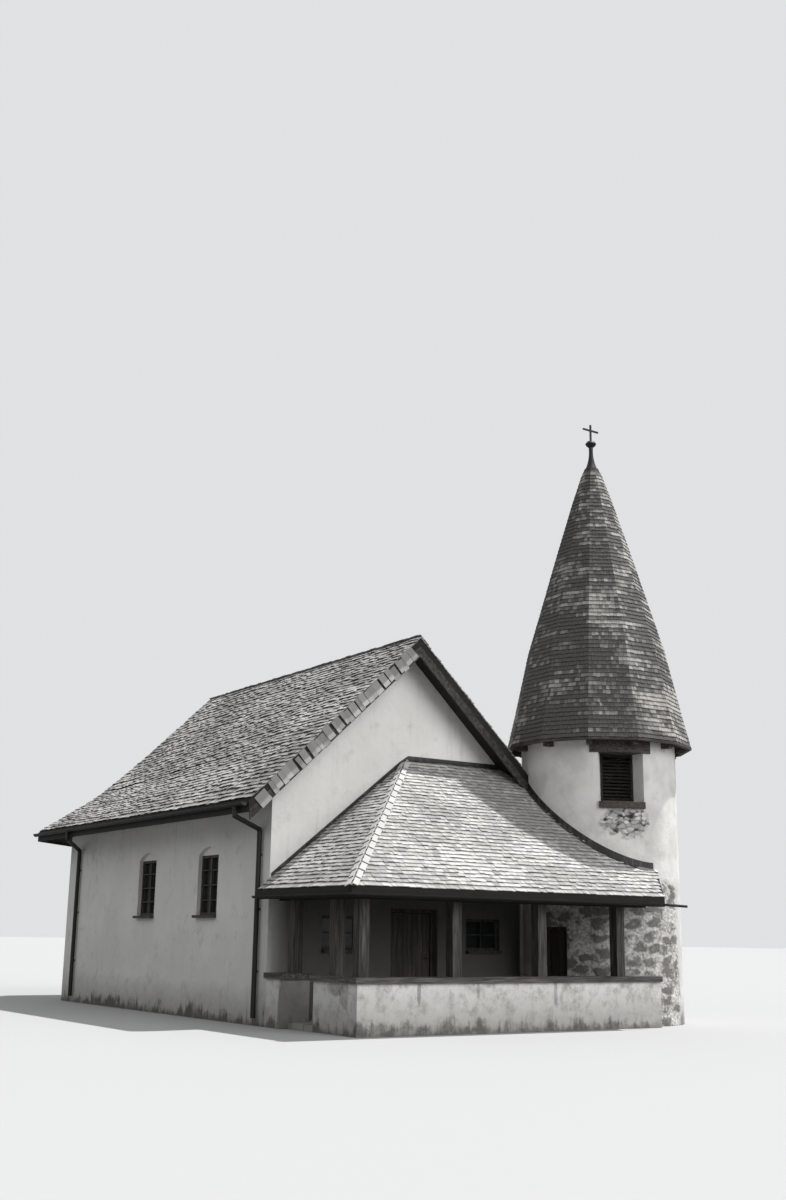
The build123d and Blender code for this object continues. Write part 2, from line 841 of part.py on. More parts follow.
hip_section = Plane(origin=(porch_eave_x, porch_eave_y, 0), x_dir=(1, 1, 0), z_dir=(1, -1, 0))
with BuildPart() as porch_hip_rafter:
    with BuildSketch(hip_section):
        with BuildLine():
            Polyline(*rafter_outline(porch_rafter_inset, porch_run - porch_rafter_width / 2, sqrt(2),
                                     hip_drop, rafter_drop - hip_drop), close=True)
        make_face()
    extrude(amount=porch_rafter_width / 2, both=True)
finish(porch_hip_rafter, "porch_hip_rafter")

# Porch gutter round the front and left eaves, with a long spout past the tower
porch_gutter_z = porch_eave_z - porch_gutter_drop
gutter_corner = 4 * porch_gutter_radius
front_gutter_end = Plane(
    origin=(porch_roof_end, porch_eave_y - porch_gutter_radius, porch_gutter_z),
    x_dir=(0, -1, 0), z_dir=(-1, 0, 0))
side_gutter_end = Plane(
    origin=(porch_eave_x - porch_gutter_radius, front + porch_gutter_stub, porch_gutter_z),
    x_dir=(1, 0, 0), z_dir=(0, -1, 0))
with BuildPart() as front_gutter:
    add(channel(porch_gutter_radius, front_gutter_end, front_length + gutter_corner))
    split(bisect_by=hip_plane, keep=Keep.BOTTOM)

with BuildPart() as side_gutter:
    add(channel(porch_gutter_radius, side_gutter_end, porch_run + porch_gutter_stub + gutter_corner))
    split(bisect_by=hip_plane, keep=Keep.TOP)

spout_start = (porch_roof_end - gutter_skin / 2, porch_eave_y - porch_gutter_radius,
               porch_gutter_z - porch_gutter_radius / 2)
with BuildPart() as porch_gutter:
    add(front_gutter.part)
    add(side_gutter.part)
    with BuildLine() as spout_route:
        Line(spout_start, (spout_start[0] + spout_reach, spout_start[1], spout_start[2] - spout_fall))
    with BuildSketch(Plane(origin=spout_start, z_dir=(spout_reach, 0, -spout_fall))):
        Circle(spout_radius)
    sweep(path=spout_route.line)
finish(porch_gutter, "porch_gutter")


# Tower walls in four segments, with a doorway to the porch and the belfry opening
belfry_height = belfry_head - belfry_sill
belfry_middle = (belfry_head + belfry_sill) / 2
lintel_part = tower_sector(tower_radius - lintel_depth, tower_radius + lintel_proud,
                           belfry_angle, lintel_span, belfry_head, tower_top)
sill_part = tower_sector(tower_radius - sill_depth, tower_radius + sill_proud,
                         belfry_angle, sill_span, belfry_sill - sill_height, belfry_sill)
segments = {"porch": -190, "front": -100, "outer": -10, "back": 80}
for place, angle in segments.items():
    quarter = tower_sector(tower_radius - tower_wall, tower_radius, angle, 90, 0, tower_top)
    with BuildPart() as tower_segment:
        add(quarter)
        if place == "porch":
            with BuildSketch(tower_plane(tower_door_angle)):
                with Locations((0, (porch_floor_z + tower_door_head) / 2)):
                    Rectangle(tower_door_width, tower_door_head - porch_floor_z)
            extrude(amount=tower_radius + tower_wall, mode=Mode.SUBTRACT)
        if place == "front":
            with BuildSketch(tower_plane(belfry_angle, tower_radius + splay_lead)):
                with Locations((0, belfry_middle)):
                    Rectangle(belfry_width + splay_lead * (belfry_width - louvre_width) / louvre_set_back,
                              belfry_height)
            with BuildSketch(tower_plane(belfry_angle, tower_radius - louvre_set_back)):
                with Locations((0, belfry_middle)):
                    Rectangle(louvre_width, belfry_height)
            loft(mode=Mode.SUBTRACT)
            with BuildSketch(tower_plane(belfry_angle, tower_radius - louvre_set_back)):
                with Locations((0, belfry_middle)):
                    Rectangle(louvre_width, belfry_height)
            extrude(amount=-tower_wall, mode=Mode.SUBTRACT)
            add(lintel_part, mode=Mode.SUBTRACT)
            add(sill_part, mode=Mode.SUBTRACT)
    finish(tower_segment, f"tower_wall_{place}")

with BuildPart() as tower_floor:
    with BuildSketch():
        with Locations((tower_x, tower_y)):
            Circle(tower_radius - tower_wall - bedding)
    extrude(amount=porch_floor_z)
finish(tower_floor, "tower_floor")

with BuildPart() as belfry_lintel:
    add(lintel_part)
finish(belfry_lintel, "belfry_lintel")

with BuildPart() as belfry_sill_block:
    add(sill_part)
finish(belfry_sill_block, "belfry_sill")

slat_count = int((belfry_height - 2 * sash) / louvre_pitch)
louvre_plane = tower_plane(belfry_angle, tower_radius - louvre_set_back)
with BuildPart() as belfry_louvres:
    with BuildSketch(louvre_plane):
        with Locations((0, belfry_middle)):
            Rectangle(louvre_width, belfry_height)
            Rectangle(louvre_width - 2 * sash, belfry_height - 2 * sash, mode=Mode.SUBTRACT)
    extrude(amount=-sash_depth)
    with Locations(louvre_plane):
        with Locations(*[(0, belfry_sill + sash + louvre_pitch * (index + 0.5), -sash_depth / 2)
                         for index in range(slat_count)]):
            Box(louvre_width - 2 * sash, slat, sash_depth, rotation=(louvre_tilt, 0, 0))
finish(belfry_louvres, "belfry_louvres")


# Spire: a shell of boards and shingles in two stages, with a soffit that rests on the wall
def spire_body(rings, inset):
    """A stage of the spire's twelve-sided body, drawn in from its outer face by an inset."""
    with BuildPart() as body:
        for height, radius in rings:
            if inset == 0 or radius > 2 * inset:
                level = tower_top + height + (inset if height == 0 else 0)
                with BuildSketch(Plane.XY.offset(level)):
                    with Locations((tower_x, tower_y)):
                        RegularPolygon(radius - inset, spire_sides, rotation=spire_turn)
        loft(ruled=True)
    return body.part


stages = {"lower": spire_rings[:spire_joint_ring + 1], "upper": spire_rings[spire_joint_ring:]}
for stage, rings in stages.items():
    with BuildPart() as tower_roof:
        add(spire_body(rings, 0))
        add(spire_body(rings, spire_shell), mode=Mode.SUBTRACT)
        if stage == "lower":
            with BuildSketch(Plane.XY.offset(tower_top)):
                with Locations((tower_x, tower_y)):
                    Circle(tower_radius - tower_wall)
            extrude(amount=spire_shell, mode=Mode.SUBTRACT)
    finish(tower_roof, f"tower_roof_{stage}")

with BuildPart() as tower_eave_ring:
    with BuildSketch(Plane.XY.offset(tower_top - eave_ring)):
        with Locations((tower_x, tower_y)):
            RegularPolygon(spire_base + eave_ring_lip, spire_sides, rotation=spire_turn)
            RegularPolygon(spire_base + eave_ring_lip - eave_ring_width, spire_sides,
                           rotation=spire_turn, mode=Mode.SUBTRACT)
    extrude(amount=eave_ring)
finish(tower_eave_ring, "tower_eave_ring")

with BuildPart() as tower_eave_blocks:
    for index in range(spire_sides):
        angle = spire_turn + index * 360 / spire_sides
        turn = radians(angle)
        middle = tower_radius + bedding + eave_block_reach / 2
        with Locations(Location((tower_x + middle * cos(turn), tower_y + middle * sin(turn),
                                 tower_top - eave_block / 2), (0, 0, angle))):
            Box(eave_block_reach, eave_block, eave_block)
    add(lintel_part, mode=Mode.SUBTRACT)
finish(tower_eave_blocks, "tower_eave_blocks")

# Finial: a sheathed neck that narrows in a hollow curve, and a flattened ball of two bowls
spire_top = tower_top + spire_rings[-1][0]
spire_axis = Axis((tower_x, tower_y, 0), (0, 0, 1))
spire_section = Plane(origin=(tower_x, tower_y, spire_top), x_dir=(1, 0, 0), z_dir=(0, -1, 0))
ball_z = neck_height - ball_sink + ball_rise
with BuildPart() as finial:
    with BuildSketch(spire_section):
        with BuildLine():
            Line((0, 0), (neck_foot_radius, 0))
            ThreePointArc((neck_foot_radius, 0), (neck_waist_radius, neck_waist_height),
                          (neck_radius, neck_height))
            Line((neck_radius, neck_height), (0, neck_height))
            Line((0, neck_height), (0, 0))
        make_face()
    revolve(axis=spire_axis)
    with BuildSketch(spire_section):
        with BuildLine():
            for pole in (ball_z - ball_rise, ball_z + ball_rise):
                TangentArc((0, pole), (ball_radius, ball_z), tangent=(1, 0))
            Line((0, ball_z - ball_rise), (0, ball_z + ball_rise))
        make_face()
    revolve(axis=spire_axis)
finish(finial, "finial")

cross_foot = spire_top + ball_z + ball_rise
with BuildPart() as cross:
    with Locations((tower_x, tower_y, cross_foot)):
        Box(cross_bar, cross_bar, cross_height, align=(Align.CENTER, Align.CENTER, Align.MIN))
    with Locations((tower_x, tower_y, cross_foot + cross_height * cross_arm_share)):
        Box(cross_span, cross_bar, cross_bar)
finish(cross, "cross")
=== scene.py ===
import math
import random

import bmesh
import bpy
from mathutils import Matrix, Vector, noise
from mathutils.bvhtree import BVHTree


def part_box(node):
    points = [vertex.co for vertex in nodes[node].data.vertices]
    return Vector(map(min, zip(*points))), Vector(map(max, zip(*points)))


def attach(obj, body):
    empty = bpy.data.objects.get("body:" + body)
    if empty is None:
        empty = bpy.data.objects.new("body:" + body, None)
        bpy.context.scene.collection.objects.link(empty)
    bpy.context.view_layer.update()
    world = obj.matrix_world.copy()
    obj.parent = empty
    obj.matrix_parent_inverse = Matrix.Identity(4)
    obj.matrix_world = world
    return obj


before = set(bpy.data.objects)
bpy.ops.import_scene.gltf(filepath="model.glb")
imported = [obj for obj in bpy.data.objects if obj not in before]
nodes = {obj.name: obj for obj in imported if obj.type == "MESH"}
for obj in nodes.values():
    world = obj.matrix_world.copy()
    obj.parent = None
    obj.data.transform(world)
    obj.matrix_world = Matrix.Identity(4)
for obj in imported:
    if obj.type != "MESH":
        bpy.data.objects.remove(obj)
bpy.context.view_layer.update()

# The viewpoint, the pale ground and the light.
# The eye stands in front of the chapel's left corner and looks up a little; the sun is high
# on the right and a little in front, and a pale sky fills the shaded sides.
eye = Vector((-16.842, -30.649, 1.793))
turn, rise, lean = math.radians(33.465), math.radians(13.998), math.radians(0.859)
focal_pixels, frame_pixels, film_height = 1349.424, 1200, 36
ahead = Vector((math.sin(turn) * math.cos(rise), math.cos(turn) * math.cos(rise), math.sin(rise)))
level = Vector((math.cos(turn), -math.sin(turn), 0))
over = level.cross(ahead)
sideways = level * math.cos(lean) + over * math.sin(lean)
upright = over * math.cos(lean) - level * math.sin(lean)


def placed(name, data):
    """An object of the scene that holds a camera, a mesh or a lamp."""
    made = bpy.data.objects.new(name, data)
    bpy.context.scene.collection.objects.link(made)
    return made


camera = placed("camera", bpy.data.cameras.new("camera"))
camera.data.sensor_fit = "VERTICAL"
camera.data.sensor_height = film_height
camera.data.lens = film_height * focal_pixels / frame_pixels
camera.data.clip_end = 900
axes = Matrix((sideways, upright, -ahead)).transposed().to_4x4()
camera.matrix_world = Matrix.Translation(eye) @ axes
bpy.context.scene.camera = camera
bpy.context.scene.view_settings.view_transform = "Standard"


def put(tree, kind, **values):
    """Adds a shader node and fills or links its named inputs."""
    node = tree.nodes.new("ShaderNode" + kind)
    for name, value in values.items():
        socket = node.inputs[name.replace("_", " ")]
        if isinstance(value, bpy.types.NodeSocket):
            tree.links.new(value, socket)
        else:
            socket.default_value = value
    return node


def finish_of(name):
    """A new material with its node tree and its surface shader."""
    material = bpy.data.materials.new(name)
    material.use_nodes = True
    tree = material.node_tree
    return material, tree, tree.nodes["Principled BSDF"]


ground_material, tree, shader = finish_of("pale_ground")
rays = put(tree, "LightPath")
ground_lighting, ground_seen = 0.15, 0.45
tone = put(tree, "MapRange", Value=rays.outputs["Is Camera Ray"],
           To_Min=ground_lighting, To_Max=ground_seen)
tree.links.new(tone.outputs["Result"], shader.inputs["Base Color"])
shader.inputs["Roughness"].default_value = 0.95
ground_reach, ground_drop = 400, 0.004
bm = bmesh.new()
bmesh.ops.create_circle(bm, cap_ends=True, segments=96, radius=ground_reach,
                        matrix=Matrix.Translation((0, 0, -ground_drop)))
mesh = bpy.data.meshes.new("ground")
bm.to_mesh(mesh)
bm.free()
mesh.materials.append(ground_material)
placed("ground", mesh)

for name, power, spread, toward in (("sun", 4.15, 1, (0.408, -0.072, 0.910)),
                                    ("cloud_light", 1.4, 45, (0.20, -0.85, 0.36))):
    lamp = placed(name, bpy.data.lights.new(name, "SUN"))
    lamp.data.energy = power
    lamp.data.angle = math.radians(spread)
    lamp.rotation_euler = Vector(toward).to_track_quat("Z", "Y").to_euler()

world = bpy.data.worlds.new("sky")
bpy.context.scene.world = world
world.use_nodes = True
sky = world.node_tree
backdrop = sky.nodes["Background"]
backdrop.inputs["Color"].default_value = (0.83, 0.84, 0.85, 1)
rays = put(sky, "LightPath")
seen = rays.outputs["Is Camera Ray"]
for kind in ("Is Glossy Ray", "Is Transmission Ray"):
    wider = put(sky, "Math")
    wider.operation = "MAXIMUM"
    sky.links.new(seen, wider.inputs[0])
    sky.links.new(rays.outputs[kind], wider.inputs[1])
    seen = wider.outputs[0]
heading = put(sky, "SeparateXYZ", Vector=put(sky, "TexCoord").outputs["Generated"])
brightest, at_skyline, at_zenith, seen_sky = 0.84, 0.16, 0.25, 0.9
low_sky = put(sky, "MapRange", Value=heading.outputs["Z"], From_Min=0.08, From_Max=0.36,
              To_Min=at_skyline, To_Max=brightest)
overhead = put(sky, "MapRange", Value=heading.outputs["Z"], From_Min=0.5, From_Max=1.0,
               To_Min=brightest, To_Max=at_zenith)
open_sky = put(sky, "Math")
open_sky.operation = "MINIMUM"
sky.links.new(low_sky.outputs["Result"], open_sky.inputs[0])
sky.links.new(overhead.outputs["Result"], open_sky.inputs[1])
strength = put(sky, "MapRange", Value=seen, To_Min=open_sky.outputs[0], To_Max=seen_sky)
sky.links.new(strength.outputs["Result"], backdrop.inputs["Strength"])


# The masonry walls of the nave, porch and tower.
# Rubble stone under a hand-thrown lime plaster that is uneven, stained under the eaves and
# sills, and dirty where rain splashes up from the ground.
coat_outputs = (("Color", "Color"), ("Roughness", "Float"), ("Height", "Float"))


def new_group(name, inputs, outputs=coat_outputs):
    """A node group that turns a place and its other inputs into its outputs."""
    group = bpy.data.node_groups.new(name, "ShaderNodeTree")
    group.interface.new_socket("Place", in_out="INPUT", socket_type="NodeSocketVector")
    for title, kind, value in inputs:
        socket = group.interface.new_socket(title, in_out="INPUT", socket_type="NodeSocket" + kind)
        socket.default_value = value
    for title, kind in outputs:
        group.interface.new_socket(title, in_out="OUTPUT", socket_type="NodeSocket" + kind)
    return group, group.nodes.new("NodeGroupInput"), group.nodes.new("NodeGroupOutput")


def coat_of(tree, group, place, values):
    """A node group used in a material, with its place linked and its other inputs set."""
    coat = tree.nodes.new("ShaderNodeGroup")
    coat.node_tree = group
    tree.links.new(place, coat.inputs["Place"])
    for title, value in values.items():
        coat.inputs[title].default_value = value
    return coat


def mix_colour(tree, share, first, second):
    """A mix of two colours or sockets by a share."""
    node = tree.nodes.new("ShaderNodeMix")
    node.data_type = "RGBA"
    for index, value in ((0, share), (6, first), (7, second)):
        if isinstance(value, bpy.types.NodeSocket):
            tree.links.new(value, node.inputs[index])
        else:
            node.inputs[index].default_value = value
    return node.outputs[2]


def combine(tree, kind, first, second):
    """A plain sum, product or other step of two numbers."""
    node = tree.nodes.new("ShaderNodeMath")
    node.operation = kind
    for index, value in enumerate((first, second)):
        if isinstance(value, bpy.types.NodeSocket):
            tree.links.new(value, node.inputs[index])
        else:
            node.inputs[index].default_value = value
    return node.outputs[0]


def band(tree, value, low, high, out_low=0.0, out_high=1.0):
    """Spreads a number between two levels over an output range, smoothly."""
    node = put(tree, "MapRange", Value=value, From_Min=low, From_Max=high,
               To_Min=out_low, To_Max=out_high)
    node.interpolation_type = "SMOOTHSTEP"
    return node.outputs["Result"]


def roughen(tree, shader, strength, distance, height):
    """Gives a surface its small relief."""
    relief = put(tree, "Bump", Strength=strength, Distance=distance, Height=height)
    tree.links.new(relief.outputs["Normal"], shader.inputs["Normal"])


lime_coat, given, result = new_group("lime_plaster", (("Splash height", "Float", 0.6),
                                                      ("Bareness", "Float", 0.0)))
tree = lime_coat
place = given.outputs["Place"]
cloud = put(tree, "TexNoise", Vector=place, Scale=0.55, Detail=5, Roughness=0.6)
patch = put(tree, "TexNoise", Vector=place, Scale=2.6, Detail=6, Roughness=0.65)
grit = put(tree, "TexNoise", Vector=place, Scale=38, Detail=3, Roughness=0.6)
run = put(tree, "Mapping", Vector=place, Scale=(5, 5, 0.35))
streak = put(tree, "TexNoise", Vector=run.outputs[0], Scale=1.0, Detail=4, Roughness=0.7)
axis = put(tree, "SeparateXYZ", Vector=place)
sound_lime, fresh_lime = (0.77, 0.76, 0.735, 1), (0.85, 0.84, 0.815, 1)
greyed_lime, rain_run = (0.55, 0.54, 0.515, 1), (0.44, 0.43, 0.41, 1)
splashed, soiled, cracked = (0.30, 0.29, 0.27, 1), (0.105, 0.10, 0.09, 1), (0.25, 0.24, 0.22, 1)
bare_dark, bare_light = (0.16, 0.15, 0.14, 1), (0.46, 0.44, 0.41, 1)
colour = mix_colour(tree, band(tree, cloud.outputs["Fac"], 0.35, 0.68), sound_lime, fresh_lime)
colour = mix_colour(tree, band(tree, patch.outputs["Fac"], 0.54, 0.74, 0, 0.5),
                    colour, greyed_lime)
colour = mix_colour(tree, band(tree, streak.outputs["Fac"], 0.56, 0.80, 0, 0.35),
                    colour, rain_run)
splash = combine(tree, "ADD", axis.outputs["Z"],
                 combine(tree, "MULTIPLY", patch.outputs["Fac"], -0.55))
foot = put(tree, "MapRange", Value=splash, From_Min=-0.28, From_Max=given.outputs["Splash height"],
           To_Min=0.75, To_Max=0.0)
colour = mix_colour(tree, foot.outputs["Result"], colour, splashed)
uneven = combine(tree, "ADD", combine(tree, "MULTIPLY", streak.outputs["Fac"], 0.5),
                 combine(tree, "MULTIPLY", patch.outputs["Fac"], 0.5))
soil_climb = 0.30
soil = combine(tree, "SUBTRACT", axis.outputs["Z"],
               combine(tree, "MULTIPLY", band(tree, uneven, 0.40, 0.66), soil_climb))
colour = mix_colour(tree, band(tree, soil, -0.10, 0.13, 0.85, 0.0), colour, soiled)
crackle = put(tree, "TexVoronoi", Vector=mix_colour(tree, 0.06, place, patch.outputs["Color"]),
              Scale=0.9)
crackle.feature = "DISTANCE_TO_EDGE"
crack = band(tree, crackle.outputs["Distance"], 0.0, 0.004, 0.12, 0.0)
colour = mix_colour(tree, crack, colour, cracked)
bare = combine(tree, "ADD", cloud.outputs["Fac"],
               combine(tree, "MULTIPLY", patch.outputs["Fac"], 0.6))
bare = combine(tree, "ADD", bare, given.outputs["Bareness"])
bare = band(tree, bare, 1.08, 1.14)
colour = mix_colour(tree, bare, colour,
                    mix_colour(tree, grit.outputs["Fac"], bare_dark, bare_light))
height = combine(tree, "ADD", combine(tree, "MULTIPLY", cloud.outputs["Fac"], 3.0),
                 combine(tree, "MULTIPLY", patch.outputs["Fac"], 1.0))
height = combine(tree, "ADD", height, combine(tree, "MULTIPLY", grit.outputs["Fac"], 0.07))
height = combine(tree, "SUBTRACT", height, combine(tree, "MULTIPLY", bare, 0.5))
tree.links.new(colour, result.inputs["Color"])
tree.links.new(band(tree, patch.outputs["Fac"], 0.3, 0.7, 0.82, 0.95), result.inputs["Roughness"])
tree.links.new(height, result.inputs["Height"])


def vector_step(tree, kind, *values):
    """A difference, quotient or other step of vectors."""
    node = tree.nodes.new("ShaderNodeVectorMath")
    node.operation = kind
    for index, value in enumerate(values):
        if isinstance(value, bpy.types.NodeSocket):
            tree.links.new(value, node.inputs[index])
        else:
            node.inputs[index].default_value = value
    return node


ragged_patch, given, result = new_group("ragged_patch", (("Centre", "Vector", (0, 0, 0)),
                                                         ("Radii", "Vector", (1, 1, 1)),
                                                         ("Ragged", "Float", 0.9)),
                                        (("Mask", "Float"),))
tree = ragged_patch
near = vector_step(tree, "SUBTRACT", given.outputs["Place"], given.outputs["Centre"])
near = vector_step(tree, "DIVIDE", near.outputs["Vector"], given.outputs["Radii"])
reach = vector_step(tree, "LENGTH", near.outputs["Vector"])
rag = put(tree, "TexNoise", Vector=given.outputs["Place"], Scale=5.0, Detail=5, Roughness=0.65)
ragged_reach = combine(tree, "ADD", reach.outputs["Value"],
                       combine(tree, "MULTIPLY", rag.outputs["Fac"], given.outputs["Ragged"]))
half_ragged = combine(tree, "MULTIPLY", given.outputs["Ragged"], 0.5)
tree.links.new(band(tree, ragged_reach, combine(tree, "ADD", half_ragged, 0.80),
                    combine(tree, "ADD", half_ragged, 1.12), 1.0, 0.0), result.inputs["Mask"])


def worn_place(tree, place, centre, radii, ragged=0.9):
    """Mask of one ragged patch of wall, round a centre and as wide as its radii."""
    patch = coat_of(tree, ragged_patch, place,
                    {"Centre": centre, "Radii": radii, "Ragged": ragged})
    return patch.outputs["Mask"]


def plaster(name, splash, bareness=0.0, shelter=None, patches=(), stains_and_shade=(), grime=0.0):
    """Lime plaster of one wall: painted shade under a roof, bare in patches, blotched, and darkened
    in ragged patches by real stains and by painted shade.
    """
    painted_shade_colour, blot_colour = (0.075, 0.072, 0.067, 1), (0.34, 0.33, 0.31, 1)
    stain_and_shade_colour = (0.16, 0.155, 0.145, 1)
    rubble_dark, rubble_light = (0.10, 0.095, 0.09, 1), (0.42, 0.40, 0.37, 1)
    material, tree, shader = finish_of(name)
    place = put(tree, "TexCoord").outputs["Object"]
    coat = coat_of(tree, lime_coat, place, {"Splash height": splash, "Bareness": bareness})
    colour = coat.outputs["Color"]
    height = coat.outputs["Height"]
    # Painted shade under the porch roof: plaster below the roof's underside line darkens, and less
    # so near the open corner where daylight comes in.
    if shelter:
        axis = put(tree, "SeparateXYZ", Vector=place)
        eave, slope, top = shelter
        line = combine(tree, "MINIMUM", top, combine(tree, "ADD", eave,
                       combine(tree, "MULTIPLY", axis.outputs["X"], slope)))
        painted_shade = band(tree, combine(tree, "SUBTRACT", axis.outputs["Z"], line), -0.12, 0.0, 0.92, 0.0)
        open_corner, full_shade_from = -3.3, -2.75
        painted_shade = combine(tree, "MULTIPLY", painted_shade,
                       band(tree, axis.outputs["X"], open_corner, full_shade_from, 0.25, 1.0))
        colour = mix_colour(tree, painted_shade, colour, painted_shade_colour)
    for centre, radii in patches:
        bare = worn_place(tree, place, centre, radii)
        core = put(tree, "TexNoise", Vector=place, Scale=11, Detail=5, Roughness=0.7)
        rubble = mix_colour(tree, band(tree, core.outputs["Fac"], 0.38, 0.62),
                            rubble_dark, rubble_light)
        colour = mix_colour(tree, combine(tree, "MULTIPLY", bare, 0.55), colour, rubble)
        height = combine(tree, "SUBTRACT", height, combine(tree, "MULTIPLY", bare,
                         combine(tree, "ADD", core.outputs["Fac"], 0.2)))
    if grime:
        blot = put(tree, "TexNoise", Vector=place, Scale=4.2, Detail=8, Roughness=0.72)
        colour = mix_colour(tree, band(tree, blot.outputs["Fac"], 0.44, 0.70, 0.0, grime),
                            colour, blot_colour)
    # Each entry darkens a ragged patch: real stains on the porch front, painted shade on the
    # entrance pier's front face.
    for centre, radii, depth in stains_and_shade:
        stain_and_shade_mask = combine(tree, "MULTIPLY", worn_place(tree, place, centre, radii, 0.3), depth)
        colour = mix_colour(tree, stain_and_shade_mask, colour, stain_and_shade_colour)
    tree.links.new(colour, shader.inputs["Base Color"])
    tree.links.new(coat.outputs["Roughness"], shader.inputs["Roughness"])
    shader.inputs["Specular IOR Level"].default_value = 0.2
    roughen(tree, shader, 0.6, 0.03, height)
    return material


def dress(material, *names):
    """Gives CAD nodes their finish."""
    for name in names:
        mesh = nodes[name].data
        mesh.materials.clear()
        mesh.materials.append(material)


dress(plaster("nave_plaster", 0.55), "left_wall", "right_wall", "apse_wall")
low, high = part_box("porch_roof_side")
porch_fall, slab_depth = 0.809, 0.28
under_roof = high.z - slab_depth
# The walls under the porch roof get painted shade below the roof's underside.
dress(plaster("plaster_with_painted_shade", 0.55, 0.02,
              shelter=(under_roof - porch_fall * high.x, porch_fall, under_roof)),
      "front_wall_left", "front_wall_right", "front_gable")
front_y, side_x = -9.05, -3.13
front_stains = (((-1.75, front_y, 0.78), (0.05, 0.5, 0.26), 0.6),
                ((-0.35, front_y, 0.80), (0.04, 0.5, 0.20), 0.4),
                ((1.6, front_y, 0.72), (0.05, 0.5, 0.28), 0.45))
side_patches = (((side_x, -8.70, 0.72), (0.5, 0.46, 0.28)),
                ((side_x, -8.15, 0.82), (0.5, 0.30, 0.14)))
# Painted shade on the entrance pier's front face, where the porch roof and corner keep the light
# off.
entrance_painted_shade = ((-2.98, -6.42, 0.45), (0.55, 0.22, 0.75), 0.75)
dress(plaster("porch_plaster", 0.6, 0.02, grime=0.75, stains_and_shade=front_stains), "porch_front_wall")
dress(plaster("porch_corner_plaster", 0.6, 0.02, grime=0.6, patches=side_patches,
              stains_and_shade=(entrance_painted_shade,)), "porch_side_wall")


# The tower wall, whose plaster has fallen off its foot and under the belfry sill.
# There the rubble shows: field stones of all sizes in wide joints smeared with lime wash, with
# painted shade in its dark pits and in the hollows between the small stones under the sill.
# A thin fillet of the same plaster closes the corner between the tower and the nave.
low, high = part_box("tower_floor")
tower = (low + high) / 2
tower.z = 0
tower_radius = 1.79
tower_plaster, tree, shader = finish_of("tower_plaster")
place = put(tree, "TexCoord").outputs["Object"]
coat = coat_of(tree, lime_coat, place, {"Splash height": 0.35})
axis = put(tree, "SeparateXYZ", Vector=place)
around = combine(tree, "ARCTAN2", combine(tree, "SUBTRACT", axis.outputs["Y"], tower.y),
                 combine(tree, "SUBTRACT", axis.outputs["X"], tower.x))
wobble = put(tree, "TexNoise", Vector=place, Scale=2.2, Detail=5, Roughness=0.6)
girth = combine(tree, "ADD", combine(tree, "MULTIPLY", around, tower_radius),
                combine(tree, "MULTIPLY", wobble.outputs["Fac"], 0.35))
unrolled = put(tree, "CombineXYZ", X=combine(tree, "MULTIPLY", girth, 0.72),
               Y=combine(tree, "ADD", combine(tree, "MULTIPLY", axis.outputs["Z"], 1.15),
                         combine(tree, "MULTIPLY", wobble.outputs["Fac"], 0.25)))


def stones_of(tree, place, scale, warp, spread):
    """Mask of lumpy stones between their joints, and a tone for each stone."""
    bend = put(tree, "TexNoise", Vector=place, Scale=scale * 1.3, Detail=3, Roughness=0.6)
    bent = vector_step(tree, "MULTIPLY_ADD", bend.outputs["Color"], (warp, warp, 0), place)
    cells = put(tree, "TexVoronoi", Vector=bent.outputs[0], Scale=scale, Randomness=0.85)
    cells.voronoi_dimensions = "2D"
    own = put(tree, "SeparateColor", Color=cells.outputs["Color"]).outputs["Red"]
    return band(tree, cells.outputs["Distance"], spread, spread + 0.28, 1.0, 0.0), own


rock_dark, rock_light = (0.055, 0.052, 0.048, 1), (0.36, 0.345, 0.325, 1)
joint_dark, joint_light = (0.36, 0.35, 0.33, 1), (0.78, 0.77, 0.74, 1)
pit_shade_colour, tower_grime = (0.07, 0.066, 0.06, 1), (0.42, 0.41, 0.39, 1)
lump_dark, lump_light = (0.38, 0.37, 0.35, 1), (0.74, 0.73, 0.70, 1)
shaded_hollow_dark, shaded_hollow_light = (0.035, 0.033, 0.03, 1), (0.36, 0.35, 0.33, 1)
bare_top, bare_side, sill_angle = 3.22, -1.04, math.radians(-113)
stone, stone_tone = stones_of(tree, unrolled.outputs[0], 3.5, 0.34, 0.30)
fine = put(tree, "TexNoise", Vector=place, Scale=16, Detail=6, Roughness=0.7)
smear = put(tree, "TexNoise", Vector=place, Scale=5.5, Detail=5, Roughness=0.65)
broad = put(tree, "TexNoise", Vector=place, Scale=1.6, Detail=3)
shell_foot = band(tree, combine(tree, "ADD", axis.outputs["Z"],
                                combine(tree, "MULTIPLY", broad.outputs["Fac"], 0.5)),
                  bare_top, bare_top + 0.12, 1.0, 0.0)
shell_side = band(tree, combine(tree, "ADD", around,
                                combine(tree, "MULTIPLY", broad.outputs["Fac"], 0.25)),
                  bare_side, bare_side + 0.14, 1.0, 0.0)
exposed = combine(tree, "MULTIPLY", shell_foot, shell_side)
bare_stone = combine(tree, "MULTIPLY", stone, band(tree, combine(tree, "ADD",
                     combine(tree, "MULTIPLY", stone_tone, 0.4), smear.outputs["Fac"]), 0.46, 0.74))
rock = mix_colour(tree, fine.outputs["Fac"], rock_dark, rock_light)
limed = mix_colour(tree, band(tree, fine.outputs["Fac"], 0.35, 0.65), joint_dark, joint_light)
